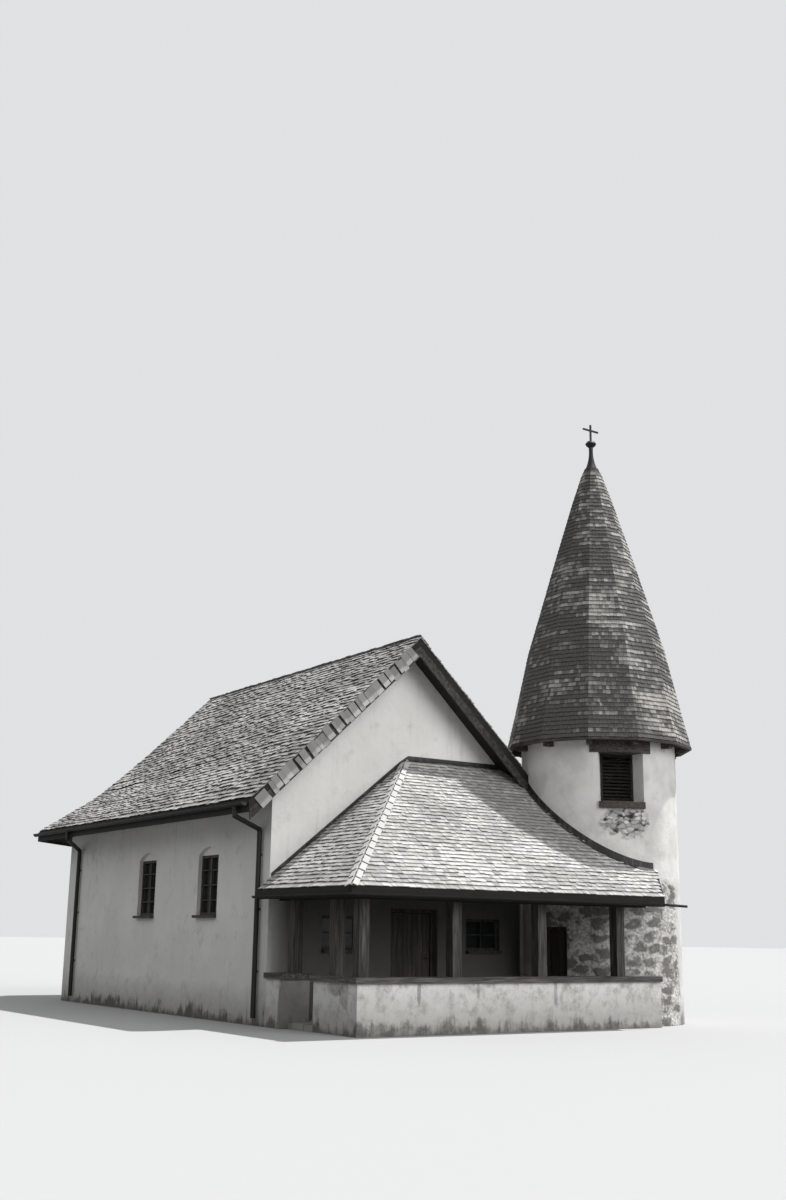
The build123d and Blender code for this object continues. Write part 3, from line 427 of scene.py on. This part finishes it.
# Painted shade in the rubble's dark pits.
pit = put(tree, "TexNoise", Vector=place, Scale=9, Detail=6, Roughness=0.75)
masonry = mix_colour(tree, band(tree, pit.outputs["Fac"], 0.56, 0.68, 0.0, 0.8),
                     mix_colour(tree, bare_stone, limed, rock), pit_shade_colour)
colour = mix_colour(tree, band(tree, broad.outputs["Fac"], 0.38, 0.66, 0.06, 0.42),
                    coat.outputs["Color"], tower_grime)
colour = mix_colour(tree, exposed, colour, masonry)
height = combine(tree, "ADD", combine(tree, "MULTIPLY", coat.outputs["Height"], 0.7),
                 combine(tree, "MULTIPLY", exposed, combine(tree, "SUBTRACT",
                         combine(tree, "MULTIPLY", stone, 0.8), 0.5)))
small_stone, small_tone = stones_of(tree, unrolled.outputs[0], 8.5, 0.10, 0.30)
broken = worn_place(tree, place, (tower.x + tower_radius * math.cos(sill_angle),
                                  tower.y + tower_radius * math.sin(sill_angle), 4.35),
                    (0.54, 0.52, 0.36), 1.4)
lump = mix_colour(tree, small_tone, lump_dark, lump_light)
# The hollows between the small stones under the sill are painted shade, darkest where the smear
# noise is low.
gap = band(tree, smear.outputs["Fac"], 0.40, 0.58)
shaded_hollow = mix_colour(tree, gap, shaded_hollow_dark, shaded_hollow_light)
colour = mix_colour(tree, broken, colour, mix_colour(tree, small_stone, shaded_hollow, lump))
height = combine(tree, "ADD", height, combine(tree, "MULTIPLY", broken, small_stone))
tree.links.new(colour, shader.inputs["Base Color"])
tree.links.new(coat.outputs["Roughness"], shader.inputs["Roughness"])
shader.inputs["Specular IOR Level"].default_value = 0.2
roughen(tree, shader, 0.7, 0.03, height)
dress(tower_plaster, "tower_wall_porch", "tower_wall_front", "tower_wall_outer", "tower_wall_back")


def new_piece(name, bm, material, body):
    """Turns a finished bmesh into an object that rides on its body."""
    mesh = bpy.data.meshes.new(name)
    bm.to_mesh(mesh)
    bm.free()
    mesh.materials.append(material)
    piece = placed(name, mesh)
    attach(piece, body)


corner = Vector((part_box("right_wall")[1].x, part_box("front_wall_right")[0].y, 0))
toward = (corner - tower).normalized()
fillet_top, half_slit = 5.3, 0.022
middle = tower + toward * (tower_radius + half_slit) + Vector((0, 0, fillet_top / 2))
bm = bmesh.new()
bmesh.ops.create_cone(bm, cap_ends=True, segments=14, radius1=0.07, radius2=0.06,
                      depth=fillet_top, matrix=Matrix.Translation(middle))
new_piece("tower_corner_fillet", bm, tower_plaster, "chapel")


# The floors and the door step.
# Worn slabs of grey stone, laid in mortar, swept but never quite clean.
paving, tree, shader = finish_of("worn_slabs")
place = put(tree, "TexCoord").outputs["Object"]
slabs = put(tree, "TexBrick", Vector=place, Scale=1.0, Mortar_Size=0.012, Brick_Width=0.75,
            Row_Height=0.5, Color1=(0.30, 0.29, 0.28, 1), Color2=(0.40, 0.39, 0.37, 1),
            Mortar=(0.14, 0.135, 0.13, 1))
stain = put(tree, "TexNoise", Vector=place, Scale=3.0, Detail=7, Roughness=0.65)
worn = mix_colour(tree, band(tree, stain.outputs["Fac"], 0.4, 0.75, 0, 0.5),
                  slabs.outputs["Color"], (0.16, 0.155, 0.15, 1))
tree.links.new(worn, shader.inputs["Base Color"])
tree.links.new(band(tree, stain.outputs["Fac"], 0.3, 0.7, 0.6, 0.9), shader.inputs["Roughness"])
roughen(tree, shader, 0.5, 0.01,
        combine(tree, "SUBTRACT", stain.outputs["Fac"], slabs.outputs["Fac"]))
dress(paving, "nave_floor", "door_step", "porch_floor", "tower_floor")


# The structural timber: posts, beams, copings, sills, frames and boards.
# Larch that was stained near black and has silvered a little where the sun reaches it; the boards
# in the roofs' shade are darker still, which is painted shade.
stain_dark, stain_light = (0.03, 0.026, 0.022, 1), (0.12, 0.108, 0.095, 1)
larch_coat, given, result = new_group("stained_larch", (("Dark", "Color", stain_dark),
                                                        ("Light", "Color", stain_light)))
tree = larch_coat
grain = put(tree, "TexNoise", Vector=given.outputs["Place"], Scale=1.0, Detail=7, Roughness=0.62,
            Distortion=0.4)
broad = put(tree, "TexNoise", Vector=given.outputs["Place"], Scale=0.16, Detail=3)
colour = mix_colour(tree, band(tree, grain.outputs["Fac"], 0.32, 0.70),
                    given.outputs["Dark"], given.outputs["Light"])
colour = mix_colour(tree, band(tree, broad.outputs["Fac"], 0.45, 0.7, 0, 0.5), colour,
                    given.outputs["Dark"])
split = band(tree, grain.outputs["Fac"], 0.30, 0.38, 1.0, 0.0)
tree.links.new(colour, result.inputs["Color"])
tree.links.new(band(tree, grain.outputs["Fac"], 0.3, 0.7, 0.62, 0.85), result.inputs["Roughness"])
tree.links.new(combine(tree, "SUBTRACT", grain.outputs["Fac"], split), result.inputs["Height"])


def timber(name, grain_scale, dark=stain_dark, light=stain_light):
    """Timber whose grain runs along the axis with the small scale."""
    material, tree, shader = finish_of(name)
    place = put(tree, "Mapping", Vector=put(tree, "TexCoord").outputs["Object"], Scale=grain_scale)
    larch = coat_of(tree, larch_coat, place.outputs[0], {"Dark": dark, "Light": light})
    tree.links.new(larch.outputs["Color"], shader.inputs["Base Color"])
    tree.links.new(larch.outputs["Roughness"], shader.inputs["Roughness"])
    shader.inputs["Specular IOR Level"].default_value = 0.25
    roughen(tree, shader, 0.5, 0.004, larch.outputs["Height"])
    return material


along_x, along_y, along_z = (1.6, 34, 34), (34, 1.6, 34), (34, 34, 1.6)
weathered = ((0.03, 0.028, 0.025, 1), (0.20, 0.19, 0.175, 1))
dress(timber("timber_along_x", along_x),
      "belfry_lintel", "tower_eave_blocks", "tower_eave_ring", "belfry_sill")
dress(timber("timber_along_y", along_y), "window_sills")
dress(timber("timber_along_z", along_z), "window_frames", "door_frames")
dress(timber("coping_timber_x", along_x, *weathered), "coping_front")
dress(timber("coping_timber_y", along_y, *weathered), "coping_side")
# Near-black boards: painted shade on the beams, rafters, eave and louvre boards and roof slab edges
# that stand in the shade of the roofs.
dress(timber("shade_darkened_boards", along_x, (0.009, 0.008, 0.007, 1), (0.034, 0.031, 0.028, 1)),
      "eave_boards", "belfry_louvres", "porch_beam_front", "porch_beam_side", "porch_rafters",
      "porch_hip_rafter", "porch_roof_front", "porch_roof_side", "nave_roof_left",
      "nave_roof_right", "apse_roof")
dress(timber("post_timber", along_z, (0.018, 0.017, 0.015, 1), (0.135, 0.126, 0.114, 1)),
      "porch_posts")
dress(timber("verge_timber", (12, 34, 12), (0.016, 0.015, 0.014, 1), (0.10, 0.094, 0.086, 1)),
      "verge_board_left", "verge_board_right")


# The roofs: hand-split larch shingles, nailed in courses that overlap by more than half.
# Each is a thin board with its butt raised by the courses under it, and no two are quite
# the same width, tone or angle.
shingle_thickness, shingle_lift = 0.015, 0.025
above, downward = Vector((0, 0, 20)), Vector((0, 0, -1))


shingle_coat, given, result = new_group("split_larch", (("Lay", "Vector", (0, 0, 0)),
                                                        ("Dark", "Color", stain_dark),
                                                        ("Light", "Color", stain_light),
                                                        ("Grimy", "Color", stain_light),
                                                        ("Bare length", "Float", 0.10),
                                                        ("Damp", "Float", 0.0)))
tree = shingle_coat
place, dark, bare = given.outputs["Place"], given.outputs["Dark"], given.outputs["Bare length"]
local = put(tree, "SeparateXYZ", Vector=given.outputs["Lay"])
tone, up_board = local.outputs["Z"], local.outputs["Y"]
grain_place = put(tree, "CombineXYZ", X=combine(tree, "MULTIPLY", local.outputs["X"], 110),
                  Y=combine(tree, "MULTIPLY", up_board, 5), Z=combine(tree, "MULTIPLY", tone, 60))
grain = put(tree, "TexNoise", Vector=grain_place.outputs[0], Scale=1.0, Detail=4, Roughness=0.6)
patch = put(tree, "TexNoise", Vector=place, Scale=0.9, Detail=5, Roughness=0.6)
fleck = put(tree, "TexNoise", Vector=place, Scale=14, Detail=4, Roughness=0.7)
share = combine(tree, "ADD", combine(tree, "MULTIPLY", tone, 0.6),
                combine(tree, "MULTIPLY", grain.outputs["Fac"], 0.55))
colour = mix_colour(tree, combine(tree, "SUBTRACT", share, given.outputs["Damp"]),
                    dark, given.outputs["Light"])
colour = mix_colour(tree, band(tree, patch.outputs["Fac"], 0.45, 0.75, 0, 0.45),
                    colour, given.outputs["Grimy"])
colour = mix_colour(tree, band(tree, fleck.outputs["Fac"], 0.60, 0.72, 0, 0.5), colour, dark)
# Painted shade: a dark band where the next course's butt overhangs the board, and a thin one along
# the board's own butt.
lapped_shade = band(tree, up_board, combine(tree, "MULTIPLY", bare, 0.7),
                combine(tree, "MULTIPLY", bare, 1.3), 0, 0.7)
colour = mix_colour(tree, lapped_shade, colour, dark)
butt_shade = band(tree, up_board, 0.0, 0.016, 0.8, 0.0)
colour = mix_colour(tree, butt_shade, colour, dark)
tree.links.new(colour, result.inputs["Color"])
tree.links.new(band(tree, grain.outputs["Fac"], 0.3, 0.7, 0.7, 0.92), result.inputs["Roughness"])
tree.links.new(grain.outputs["Fac"], result.inputs["Height"])


def shingle_material(name, dark, light, grimy, bare=0.10, darkening=0.0):
    """Split wood that follows each shingle's 'lay', with painted shade along its butt and where the
    next course laps over it.
    """
    material, tree, shader = finish_of(name)
    lay = put(tree, "Attribute")
    lay.attribute_name = "lay"
    larch = coat_of(tree, shingle_coat, put(tree, "TexCoord").outputs["Object"],
                    {"Dark": dark, "Light": light, "Grimy": grimy, "Bare length": bare,
                     "Damp": darkening})
    tree.links.new(lay.outputs["Vector"], larch.inputs["Lay"])
    tree.links.new(larch.outputs["Color"], shader.inputs["Base Color"])
    tree.links.new(larch.outputs["Roughness"], shader.inputs["Roughness"])
    roughen(tree, shader, 0.5, 0.004, larch.outputs["Height"])
    return material


silver = shingle_material("silvered_shingle", (0.065, 0.062, 0.057, 1), (0.70, 0.69, 0.665, 1),
                          (0.24, 0.24, 0.215, 1))
pale = shingle_material("pale_shingle", (0.15, 0.146, 0.138, 1), (0.68, 0.67, 0.648, 1),
                        (0.36, 0.355, 0.33, 1))
fresh = shingle_material("cap_board", (0.30, 0.295, 0.28, 1), (0.56, 0.552, 0.535, 1),
                         (0.40, 0.39, 0.37, 1), bare=0.5)
brown = shingle_material("weathered_shingle", (0.014, 0.013, 0.011, 1), (0.56, 0.54, 0.50, 1),
                         (0.08, 0.074, 0.064, 1), darkening=0.15)


def one_shingle(bm, layer, butt, along, up, normal, width, length, tone, lift=shingle_lift,
                bed=0.003):
    """Lays one shingle with the middle of its butt at a point of the roof."""
    foot = butt + normal * (lift - shingle_thickness / 2)
    head = butt + up * length + normal * (bed - shingle_thickness / 2)
    lie = head - foot
    face = along.cross(lie).normalized() * shingle_thickness
    matrix = Matrix((along * width, lie, face)).transposed().to_4x4()
    matrix.translation = (foot + head) / 2
    made = bmesh.ops.create_cube(bm, size=1, matrix=matrix)["verts"]
    for vert in made:
        out = vert.co - foot
        vert[layer] = Vector((out.dot(along), out.dot(up), tone))


def gather(bm, course):
    """Adds a finished course of boards to the whole piece."""
    mesh = bpy.data.meshes.new("course")
    course.to_mesh(mesh)
    course.free()
    bm.from_mesh(mesh)
    bpy.data.meshes.remove(mesh)


def new_course():
    """An empty bmesh and its 'lay': where a point lies on its board, and the board's tone."""
    course = bmesh.new()
    return course, course.verts.layers.float_vector.new("lay")


def tone_of(dice, course, reach, streak=0.35, own=0.7, base=0.5, blotch=0.6):
    """Tone of one shingle: its own, that of its neighbours, and that of its course."""
    drift = noise.noise(Vector((reach * 0.8, course * 0.16, 7.7)))
    row = noise.noise(Vector((reach * 0.9, course * 3.3, 1.9)))
    tone = base + blotch * drift + streak * row + own * (dice.random() - 0.5)
    rotten_share = 0.03
    return 0.0 if dice.random() < rotten_share else min(max(tone, 0.0), 1.0)


def surface_tree(name):
    """The surface of a CAD node, to be probed by rays."""
    mesh = nodes[name].data
    return BVHTree.FromPolygons([v.co for v in mesh.vertices], [p.vertices for p in mesh.polygons])


def course_widths(dice, total, least, most):
    """Random shingle widths that fill a course."""
    widths = []
    while sum(widths) < total:
        widths.append(dice.uniform(least, most))
    return widths


def shingle_slope(bm, tree, corner, along, inward, length, depth, exposure, dice,
                  least=0.09, most=0.21, unrule=0.012, tower_shadow_centre=None):
    """Covers one slope: courses run along the eave and step up the fall of the roof."""
    step, course = 0.02, 0
    joint_width, usual_flat, steepest, lap, eave_overhang = 0.005, 0.72, 0.2, 1.7, 0.022
    shadow_reach, shadow_fade, deepest_shadow = 2.3, 0.9, 0.45
    while step < depth:
        probe = tree.ray_cast(corner + along * (length * 0.5) + inward * step + above, downward)
        reach = 0.0
        boards, board_layer = new_course()
        for width in course_widths(dice, length, least, most):
            middle = reach + width / 2
            reach += width
            sway = unrule * noise.noise(Vector((middle * 0.7, course * 0.9, 3.1)))
            spot = corner + along * middle + inward * (step + sway) + above
            point, normal = tree.ray_cast(spot, downward)[:2]
            if point is None or normal.z < steepest:
                continue
            fall = (inward - normal * inward.dot(normal)).normalized()
            butt = point - fall * (dice.uniform(-unrule, unrule) if course else eave_overhang)
            # Painted shadow of the tower: shingles near the given centre get a darker tone.
            darkening = 0.0
            if tower_shadow_centre:
                near = max(shadow_reach - (point.xy - tower_shadow_centre).length, 0.0)
                darkening = min(near / shadow_fade, 1.0) * deepest_shadow
            yaw = dice.uniform(-unrule, unrule)
            side = (along + fall * yaw).normalized()
            one_shingle(boards, board_layer, butt, side, fall, normal, width - joint_width,
                        exposure * lap, tone_of(dice, course, reach, base=0.5 - darkening),
                        shingle_lift + dice.uniform(-0.004, unrule))
        gather(bm, boards)
        flat = probe[1].z if probe[0] is not None else usual_flat
        step += exposure * flat
        course += 1


def trim(bm, point, normal):
    """Cuts away what lies in front of a plane and closes the cut boards."""
    geometry = bm.verts[:] + bm.edges[:] + bm.faces[:]
    bmesh.ops.bisect_plane(bm, geom=geometry, plane_co=point, plane_no=normal, clear_outer=True)
    rims = [edge for edge in bm.edges if edge.is_boundary]
    bmesh.ops.holes_fill(bm, edges=rims, sides=8)


low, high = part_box("nave_roof_left")
eave_x, verge_y, hip_y, ridge_z = low.x, low.y, high.y, high.z
half_turn = math.radians(22.5)
apse_y = hip_y + eave_x * math.tan(half_turn)
nave_exposure, rough_setting = 0.135, 0.024
dice = random.Random(11)
for side, sign in (("left", -1), ("right", 1)):
    bm, layer = new_course()
    corner = Vector((sign * -eave_x, verge_y - 0.02, 0))
    shingle_slope(bm, surface_tree(f"nave_roof_{side}"), corner, Vector((0, 1, 0)),
                  Vector((-sign, 0, 0)), hip_y - verge_y, -eave_x, nave_exposure, dice,
                  0.07, 0.20, rough_setting)
    outward = math.radians(90 - sign * 67.5)
    trim(bm, Vector((0, apse_y, 0)), Vector((-math.sin(outward), math.cos(outward), 0)) * sign)
    trim(bm, Vector((0, 0, 0)), Vector((-sign, 0, 0)))
    if side == "right":
        slope, square = Vector((-1, 0, 1)).normalized(), Vector((1, 0, 1)).normalized()
        reach = verge_y - 0.01
        crest_length, crest_down, crest_lift, crest_bed = 0.32, 0.26, 0.062, 0.045
        for width in course_widths(dice, apse_y - verge_y - 0.15, 0.09, 0.2):
            crest = Vector((0, reach + width / 2, ridge_z + dice.uniform(0.0, 0.02)))
            reach += width
            one_shingle(bm, layer, crest - slope * crest_down, Vector((0, 1, 0)), slope, square,
                        width - 0.006, crest_length, tone_of(dice, 0, reach), crest_lift,
                        crest_bed)
    new_piece(f"nave_shingles_{side}", bm, silver, "chapel")

bm = new_course()[0]
apse_tree = surface_tree("apse_roof")
for angle in (135, 90, 45):
    face = new_course()[0]
    spoke = math.radians(angle)
    out = Vector((math.cos(spoke), math.sin(spoke), 0))
    along = Vector((-out.y, out.x, 0))
    half_side = -eave_x * math.tan(half_turn)
    corner = Vector((0, apse_y, 0)) + out * -eave_x - along * half_side
    shingle_slope(face, apse_tree, corner, along, -out, 2 * half_side, -eave_x, nave_exposure,
                  dice)
    for sense in (1, -1):
        edge = spoke + half_turn * sense
        trim(face, Vector((0, apse_y, 0)), Vector((-math.sin(edge), math.cos(edge), 0)) * sense)
    gather(bm, face)
new_piece("apse_shingles", bm, silver, "chapel")

low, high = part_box("porch_roof_side")
porch_x, porch_y, wall_y = low.x, low.y, high.y
porch_run = wall_y - porch_y
corner, across, back = Vector((porch_x, porch_y, 0)), Vector((1, 0, 0)), Vector((0, 1, 0))
roof_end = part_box("porch_roof_front")[1].x
front_tree = surface_tree("porch_roof_front")
porch_exposure, least_width, most_width = 0.124, 0.07, 0.17
bm = new_course()[0]
shingle_slope(bm, front_tree, corner, across, back, roof_end - porch_x, porch_run,
              porch_exposure, dice, least_width, most_width, tower_shadow_centre=Vector((3.3, -6.2)))
trim(bm, corner, Vector((-1, 1, 0)))
new_piece("porch_shingles_front", bm, pale, "chapel")
bm = new_course()[0]
shingle_slope(bm, surface_tree("porch_roof_side"), corner, back, across, porch_run, porch_run,
              porch_exposure, dice, least_width, most_width)
trim(bm, corner, Vector((1, -1, 0)))
trim(bm, Vector((0, wall_y, 0)), Vector((0, 1, 0)))
new_piece("porch_shingles_side", bm, pale, "chapel")


# The cap of the porch's hip: pairs of fresh larch boards that meet over the hip line.
# They are nailed from the eave upwards, each over the head of the one below it.
bm, layer = new_course()
hip_step, hip_overhang, hip_lap, hip_lift, hip_bed = 0.30, 0.02, 1.3, 0.072, 0.045
probe_x, upper_y, lower_y = 1.5, -6.5, -8.5
upper, lower = (front_tree.ray_cast(Vector((probe_x, y, 20)), downward)[0].z
                for y in (upper_y, lower_y))
roof_fall = (upper - lower) / (upper_y - lower_y)
hip_foot = Vector((porch_x, porch_y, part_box("porch_roof_front")[1].z - roof_fall * porch_run))
hip_line = Vector((1, 1, roof_fall)).normalized()
for number in range(int(porch_run * math.sqrt(2 + roof_fall ** 2) / hip_step)):
    for normal, away in ((Vector((0, -roof_fall, 1)), 1), (Vector((-roof_fall, 0, 1)), -1)):
        normal.normalize()
        across = hip_line.cross(normal).normalized() * away
        if across.x * away < 0:
            across = -across
        width = dice.uniform(0.10, 0.125)
        butt = (hip_foot + hip_line * (number * hip_step - hip_overhang)
                + across * (width / 2 - 0.004))
        one_shingle(bm, layer, butt + hip_line * dice.uniform(-0.015, 0.015), across * away,
                    hip_line, normal, width, hip_step * hip_lap, dice.uniform(0.6, 1.0),
                    hip_lift, hip_bed)
new_piece("porch_hip_cap", bm, fresh, "chapel")


# The tabs over the left verge and the flashings of the porch roof.
# Short split boards nailed square to the verge board keep rain off its face; strips of
# dark sheet metal close the joint between the porch roof and the walls behind it.
bm, layer = new_course()
roof_tree = surface_tree("nave_roof_left")
tab_x, last_x, half_probe, foot_width, tab_bed = eave_x + 0.16, -0.25, 0.05, 0.30, 0.022
while tab_x < last_x:
    tops = [roof_tree.ray_cast(Vector((tab_x + shift, verge_y + 0.05, 20)), downward)[0]
            for shift in (-half_probe, half_probe)]
    slope = (tops[1] - tops[0]).normalized()
    up = Vector((-slope.z, 0, slope.x))
    wide = foot_width if tab_x < eave_x + 0.3 else dice.uniform(0.09, 0.20)
    butt = (tops[0] + tops[1]) / 2 - up * dice.uniform(0.26, 0.33)
    butt.y = verge_y
    along = (slope + up * dice.uniform(-0.07, 0.07)).normalized()
    one_shingle(bm, layer, butt, along, Vector((-along.z, 0, along.x)), Vector((0, -1, 0)), wide,
                dice.uniform(0.27, 0.31), dice.uniform(0.0, 0.75), dice.uniform(0.034, 0.048),
                tab_bed)
    tab_x += (wide + dice.choice((0.0, 0.004, 0.008, 0.02, 0.05))) * slope.x
new_piece("verge_tabs", bm, pale, "chapel")


sheet, tree, shader = finish_of("dull_sheet")
place = put(tree, "TexCoord").outputs["Object"]
stretched = put(tree, "Mapping", Vector=place, Scale=(9, 9, 1.5))
streaks = put(tree, "TexNoise", Vector=stretched.outputs[0], Scale=1.0, Detail=6, Roughness=0.7)
tree.links.new(mix_colour(tree, band(tree, streaks.outputs["Fac"], 0.45, 0.72),
                          (0.035, 0.035, 0.034, 1), (0.15, 0.145, 0.135, 1)),
               shader.inputs["Base Color"])
tree.links.new(band(tree, streaks.outputs["Fac"], 0.3, 0.7, 0.45, 0.8), shader.inputs["Roughness"])
shader.inputs["Metallic"].default_value = 0.5
roughen(tree, shader, 0.3, 0.004, streaks.outputs["Fac"])


def flashing(bm, path, rise, depth):
    """A folded strip that stands against a wall and laps over the roof."""
    chain = [bmesh.ops.create_vert(bm, co=path[0][0])["vert"][0]]
    for point, out in path[1:]:
        made = bmesh.ops.extrude_vert_indiv(bm, verts=[chain[-1]])["verts"][0]
        made.co = point
        chain.append(made)
    edges = [edge for edge in bm.edges if edge.verts[0] in chain and edge.verts[1] in chain]
    for reach in (Vector((0, 0, rise)), None):
        lip = bmesh.ops.extrude_edge_only(bm, edges=edges)["geom"]
        moved = [item for item in lip if isinstance(item, bmesh.types.BMVert)]
        for vert in moved:
            foot = min(path, key=lambda step: (step[0] - vert.co).length)
            vert.co += reach if reach else foot[1] * depth
    bmesh.ops.recalc_face_normals(bm, faces=bm.faces)
    sheet_thickness = 0.008
    bmesh.ops.solidify(bm, geom=bm.faces[:], thickness=sheet_thickness)


off_wall, over_shingles = 0.012, 0.035
bm = bmesh.new()
turn_from, turn_to, turn_steps = math.radians(-218), math.radians(-92), 42
path = []
for number in range(turn_steps + 1):
    angle = turn_from + (turn_to - turn_from) * number / turn_steps
    out = Vector((math.cos(angle), math.sin(angle), 0))
    point = tower + out * (tower_radius + off_wall)
    if point.y > wall_y - 0.01:
        continue
    point.z = hip_foot.z + roof_fall * (point.y - porch_y) + over_shingles
    path.append((point, out + Vector((0, 0, roof_fall * out.y))))
flashing(bm, path, 0.13, 0.09)
new_piece("tower_flashing", bm, sheet, "chapel")
bm = bmesh.new()
strip_from, strip_to, strip_steps = porch_x + 0.3, 3.25, 29
path = []
for number in range(strip_steps + 1):
    x = strip_from + (strip_to - strip_from) * number / strip_steps
    run = min(x - porch_x, porch_run)
    path.append((Vector((x, wall_y - off_wall, hip_foot.z + roof_fall * run + over_shingles)),
                 Vector((0, -1, -roof_fall if x > 0 else 0))))
flashing(bm, path, 0.07, 0.05)
new_piece("gable_flashing", bm, sheet, "chapel")


# The spire: twelve faces of short brown larch shingles, cut to meet on the corners.
# They are nailed in closer courses than on the nave and sweep out a little over the eave.
eave_z, joint_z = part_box("tower_roof_lower")[0].z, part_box("tower_roof_upper")[0].z
tip_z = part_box("tower_roof_upper")[1].z
spire_trees = (surface_tree("tower_roof_lower"), surface_tree("tower_roof_upper"))
sides, first_corner, exposure = 12, math.radians(12.6), 0.103
spire_lap, spire_lift, narrowest, widest = 1.5, 0.020, 0.06, 0.13
bm = new_course()[0]
height, course = eave_z + 0.01, 0
while height < tip_z - exposure * spire_lap:
    boards, board_layer = new_course()
    for index in range(sides):
        angle = first_corner + (index + 0.5) * 2 * math.pi / sides
        out = Vector((math.cos(angle), math.sin(angle), 0))
        start = tower + out * 4 + Vector((0, 0, height))
        point, normal = spire_trees[height > joint_z].ray_cast(start, -out)[:2]
        apothem = (point - tower).dot(out)
        along = Vector((-out.y, out.x, 0))
        up = (Vector((0, 0, 1)) - normal * normal.z).normalized()
        total = 2 * apothem * math.tan(math.pi / sides) + 0.012
        widths = course_widths(dice, total, narrowest, widest)
        scale = total / sum(widths)
        reach = -total / 2
        for width in widths:
            width *= scale
            butt = point + along * (reach + width / 2) + up * dice.uniform(-0.008, 0.006)
            reach += width
            # Painted light: shingles on the faces turned towards the sun are lighter, those on the
            # shaded faces darker.
            sunward_tone = 0.32 + 0.42 * out.x
            tone = tone_of(dice, course, reach + index * 0.9, 1.4, 1.0, sunward_tone, 1.3)
            one_shingle(boards, board_layer, butt, along, up, normal, width - 0.004,
                        exposure * spire_lap, tone, spire_lift + dice.uniform(-0.003, 0.004))
    gather(bm, boards)
    height += exposure * up.z
    course += 1
new_piece("spire_shingles", bm, brown, "chapel")
dress(brown, "tower_roof_lower", "tower_roof_upper")


# Panes, ironwork, gutters and the finial.
# Old dark window glass, blackened hinges and gutters, and a sheet-metal ball with its cross.
glass, tree, shader = finish_of("dark_glass")
wave = put(tree, "TexNoise", Vector=put(tree, "TexCoord").outputs["Object"], Scale=6.0, Detail=2)
tree.links.new(mix_colour(tree, wave.outputs["Fac"], (0.012, 0.014, 0.015, 1),
                          (0.035, 0.038, 0.04, 1)), shader.inputs["Base Color"])
shader.inputs["Roughness"].default_value = 0.16
shader.inputs["Specular IOR Level"].default_value = 0.3
roughen(tree, shader, 0.15, 0.01, wave.outputs["Fac"])
dress(glass, "window_glass")

iron, tree, shader = finish_of("blackened_iron")
rust = put(tree, "TexNoise", Vector=put(tree, "TexCoord").outputs["Object"], Scale=22.0, Detail=6,
           Roughness=0.7)
blackened, rusty = (0.03, 0.03, 0.03, 1), (0.085, 0.06, 0.045, 1)
tree.links.new(mix_colour(tree, band(tree, rust.outputs["Fac"], 0.52, 0.72), blackened, rusty),
               shader.inputs["Base Color"])
tree.links.new(band(tree, rust.outputs["Fac"], 0.35, 0.7, 0.38, 0.75), shader.inputs["Roughness"])
shader.inputs["Metallic"].default_value = 0.7
roughen(tree, shader, 0.3, 0.003, rust.outputs["Fac"])
dress(iron, "door_ironwork", "tower_door_ironwork", "door_pintles", "finial", "cross",
      "nave_gutters", "nave_downpipes", "porch_gutter")


# The two door leaves: upright planks joined edge to edge on ledges.
# Each plank has its own tone and a rounded arris, so that the joints show as dark lines.
plank_coat, given, result = new_group("joined_planks", (("Plank width", "Float", 0.13),))
tree = plank_coat
axis = put(tree, "SeparateXYZ", Vector=given.outputs["Place"])
count = combine(tree, "DIVIDE", axis.outputs["X"], given.outputs["Plank width"])
number = combine(tree, "FLOOR", count, 0)
inside = combine(tree, "ABSOLUTE", combine(tree, "SUBTRACT",
                 combine(tree, "SUBTRACT", count, number), 0.5), 0)
joint = band(tree, inside, 0.44, 0.495)
own = put(tree, "TexWhiteNoise", Vector=put(tree, "CombineXYZ", X=number).outputs[0])
shifted = put(tree, "CombineXYZ", X=axis.outputs["X"], Y=combine(tree, "MULTIPLY", number, 3.7),
              Z=axis.outputs["Z"])
grain_place = put(tree, "Mapping", Vector=shifted.outputs[0], Scale=(34, 1, 1.6))
plank_dark, plank_light = (0.035, 0.03, 0.025, 1), (0.15, 0.135, 0.115, 1)
joint_colour = (0.01, 0.009, 0.008, 1)
larch = coat_of(tree, larch_coat, grain_place.outputs[0],
                {"Dark": plank_dark, "Light": plank_light})
worn = mix_colour(tree, combine(tree, "MULTIPLY", own.outputs["Value"], 0.55),
                  larch.outputs["Color"], stain_dark)
tree.links.new(mix_colour(tree, joint, worn, joint_colour), result.inputs["Color"])
tree.links.new(larch.outputs["Roughness"], result.inputs["Roughness"])
tree.links.new(combine(tree, "SUBTRACT", combine(tree, "MULTIPLY", larch.outputs["Height"], 0.3),
                       joint), result.inputs["Height"])


def planks(name, heading, width):
    """Plank timber whose joints stand across the given heading."""
    material, tree, shader = finish_of(name)
    place = put(tree, "Mapping", Vector=put(tree, "TexCoord").outputs["Object"],
                Rotation=(0, 0, -heading))
    boards = coat_of(tree, plank_coat, place.outputs[0], {"Plank width": width})
    tree.links.new(boards.outputs["Color"], shader.inputs["Base Color"])
    tree.links.new(boards.outputs["Roughness"], shader.inputs["Roughness"])
    shader.inputs["Specular IOR Level"].default_value = 0.3
    roughen(tree, shader, 0.8, 0.006, boards.outputs["Height"])
    return material


dress(planks("church_door_planks", 0, 0.133), "door_leaf")
dress(planks("tower_door_planks", math.radians(-78), 0.125), "tower_door_leaf")
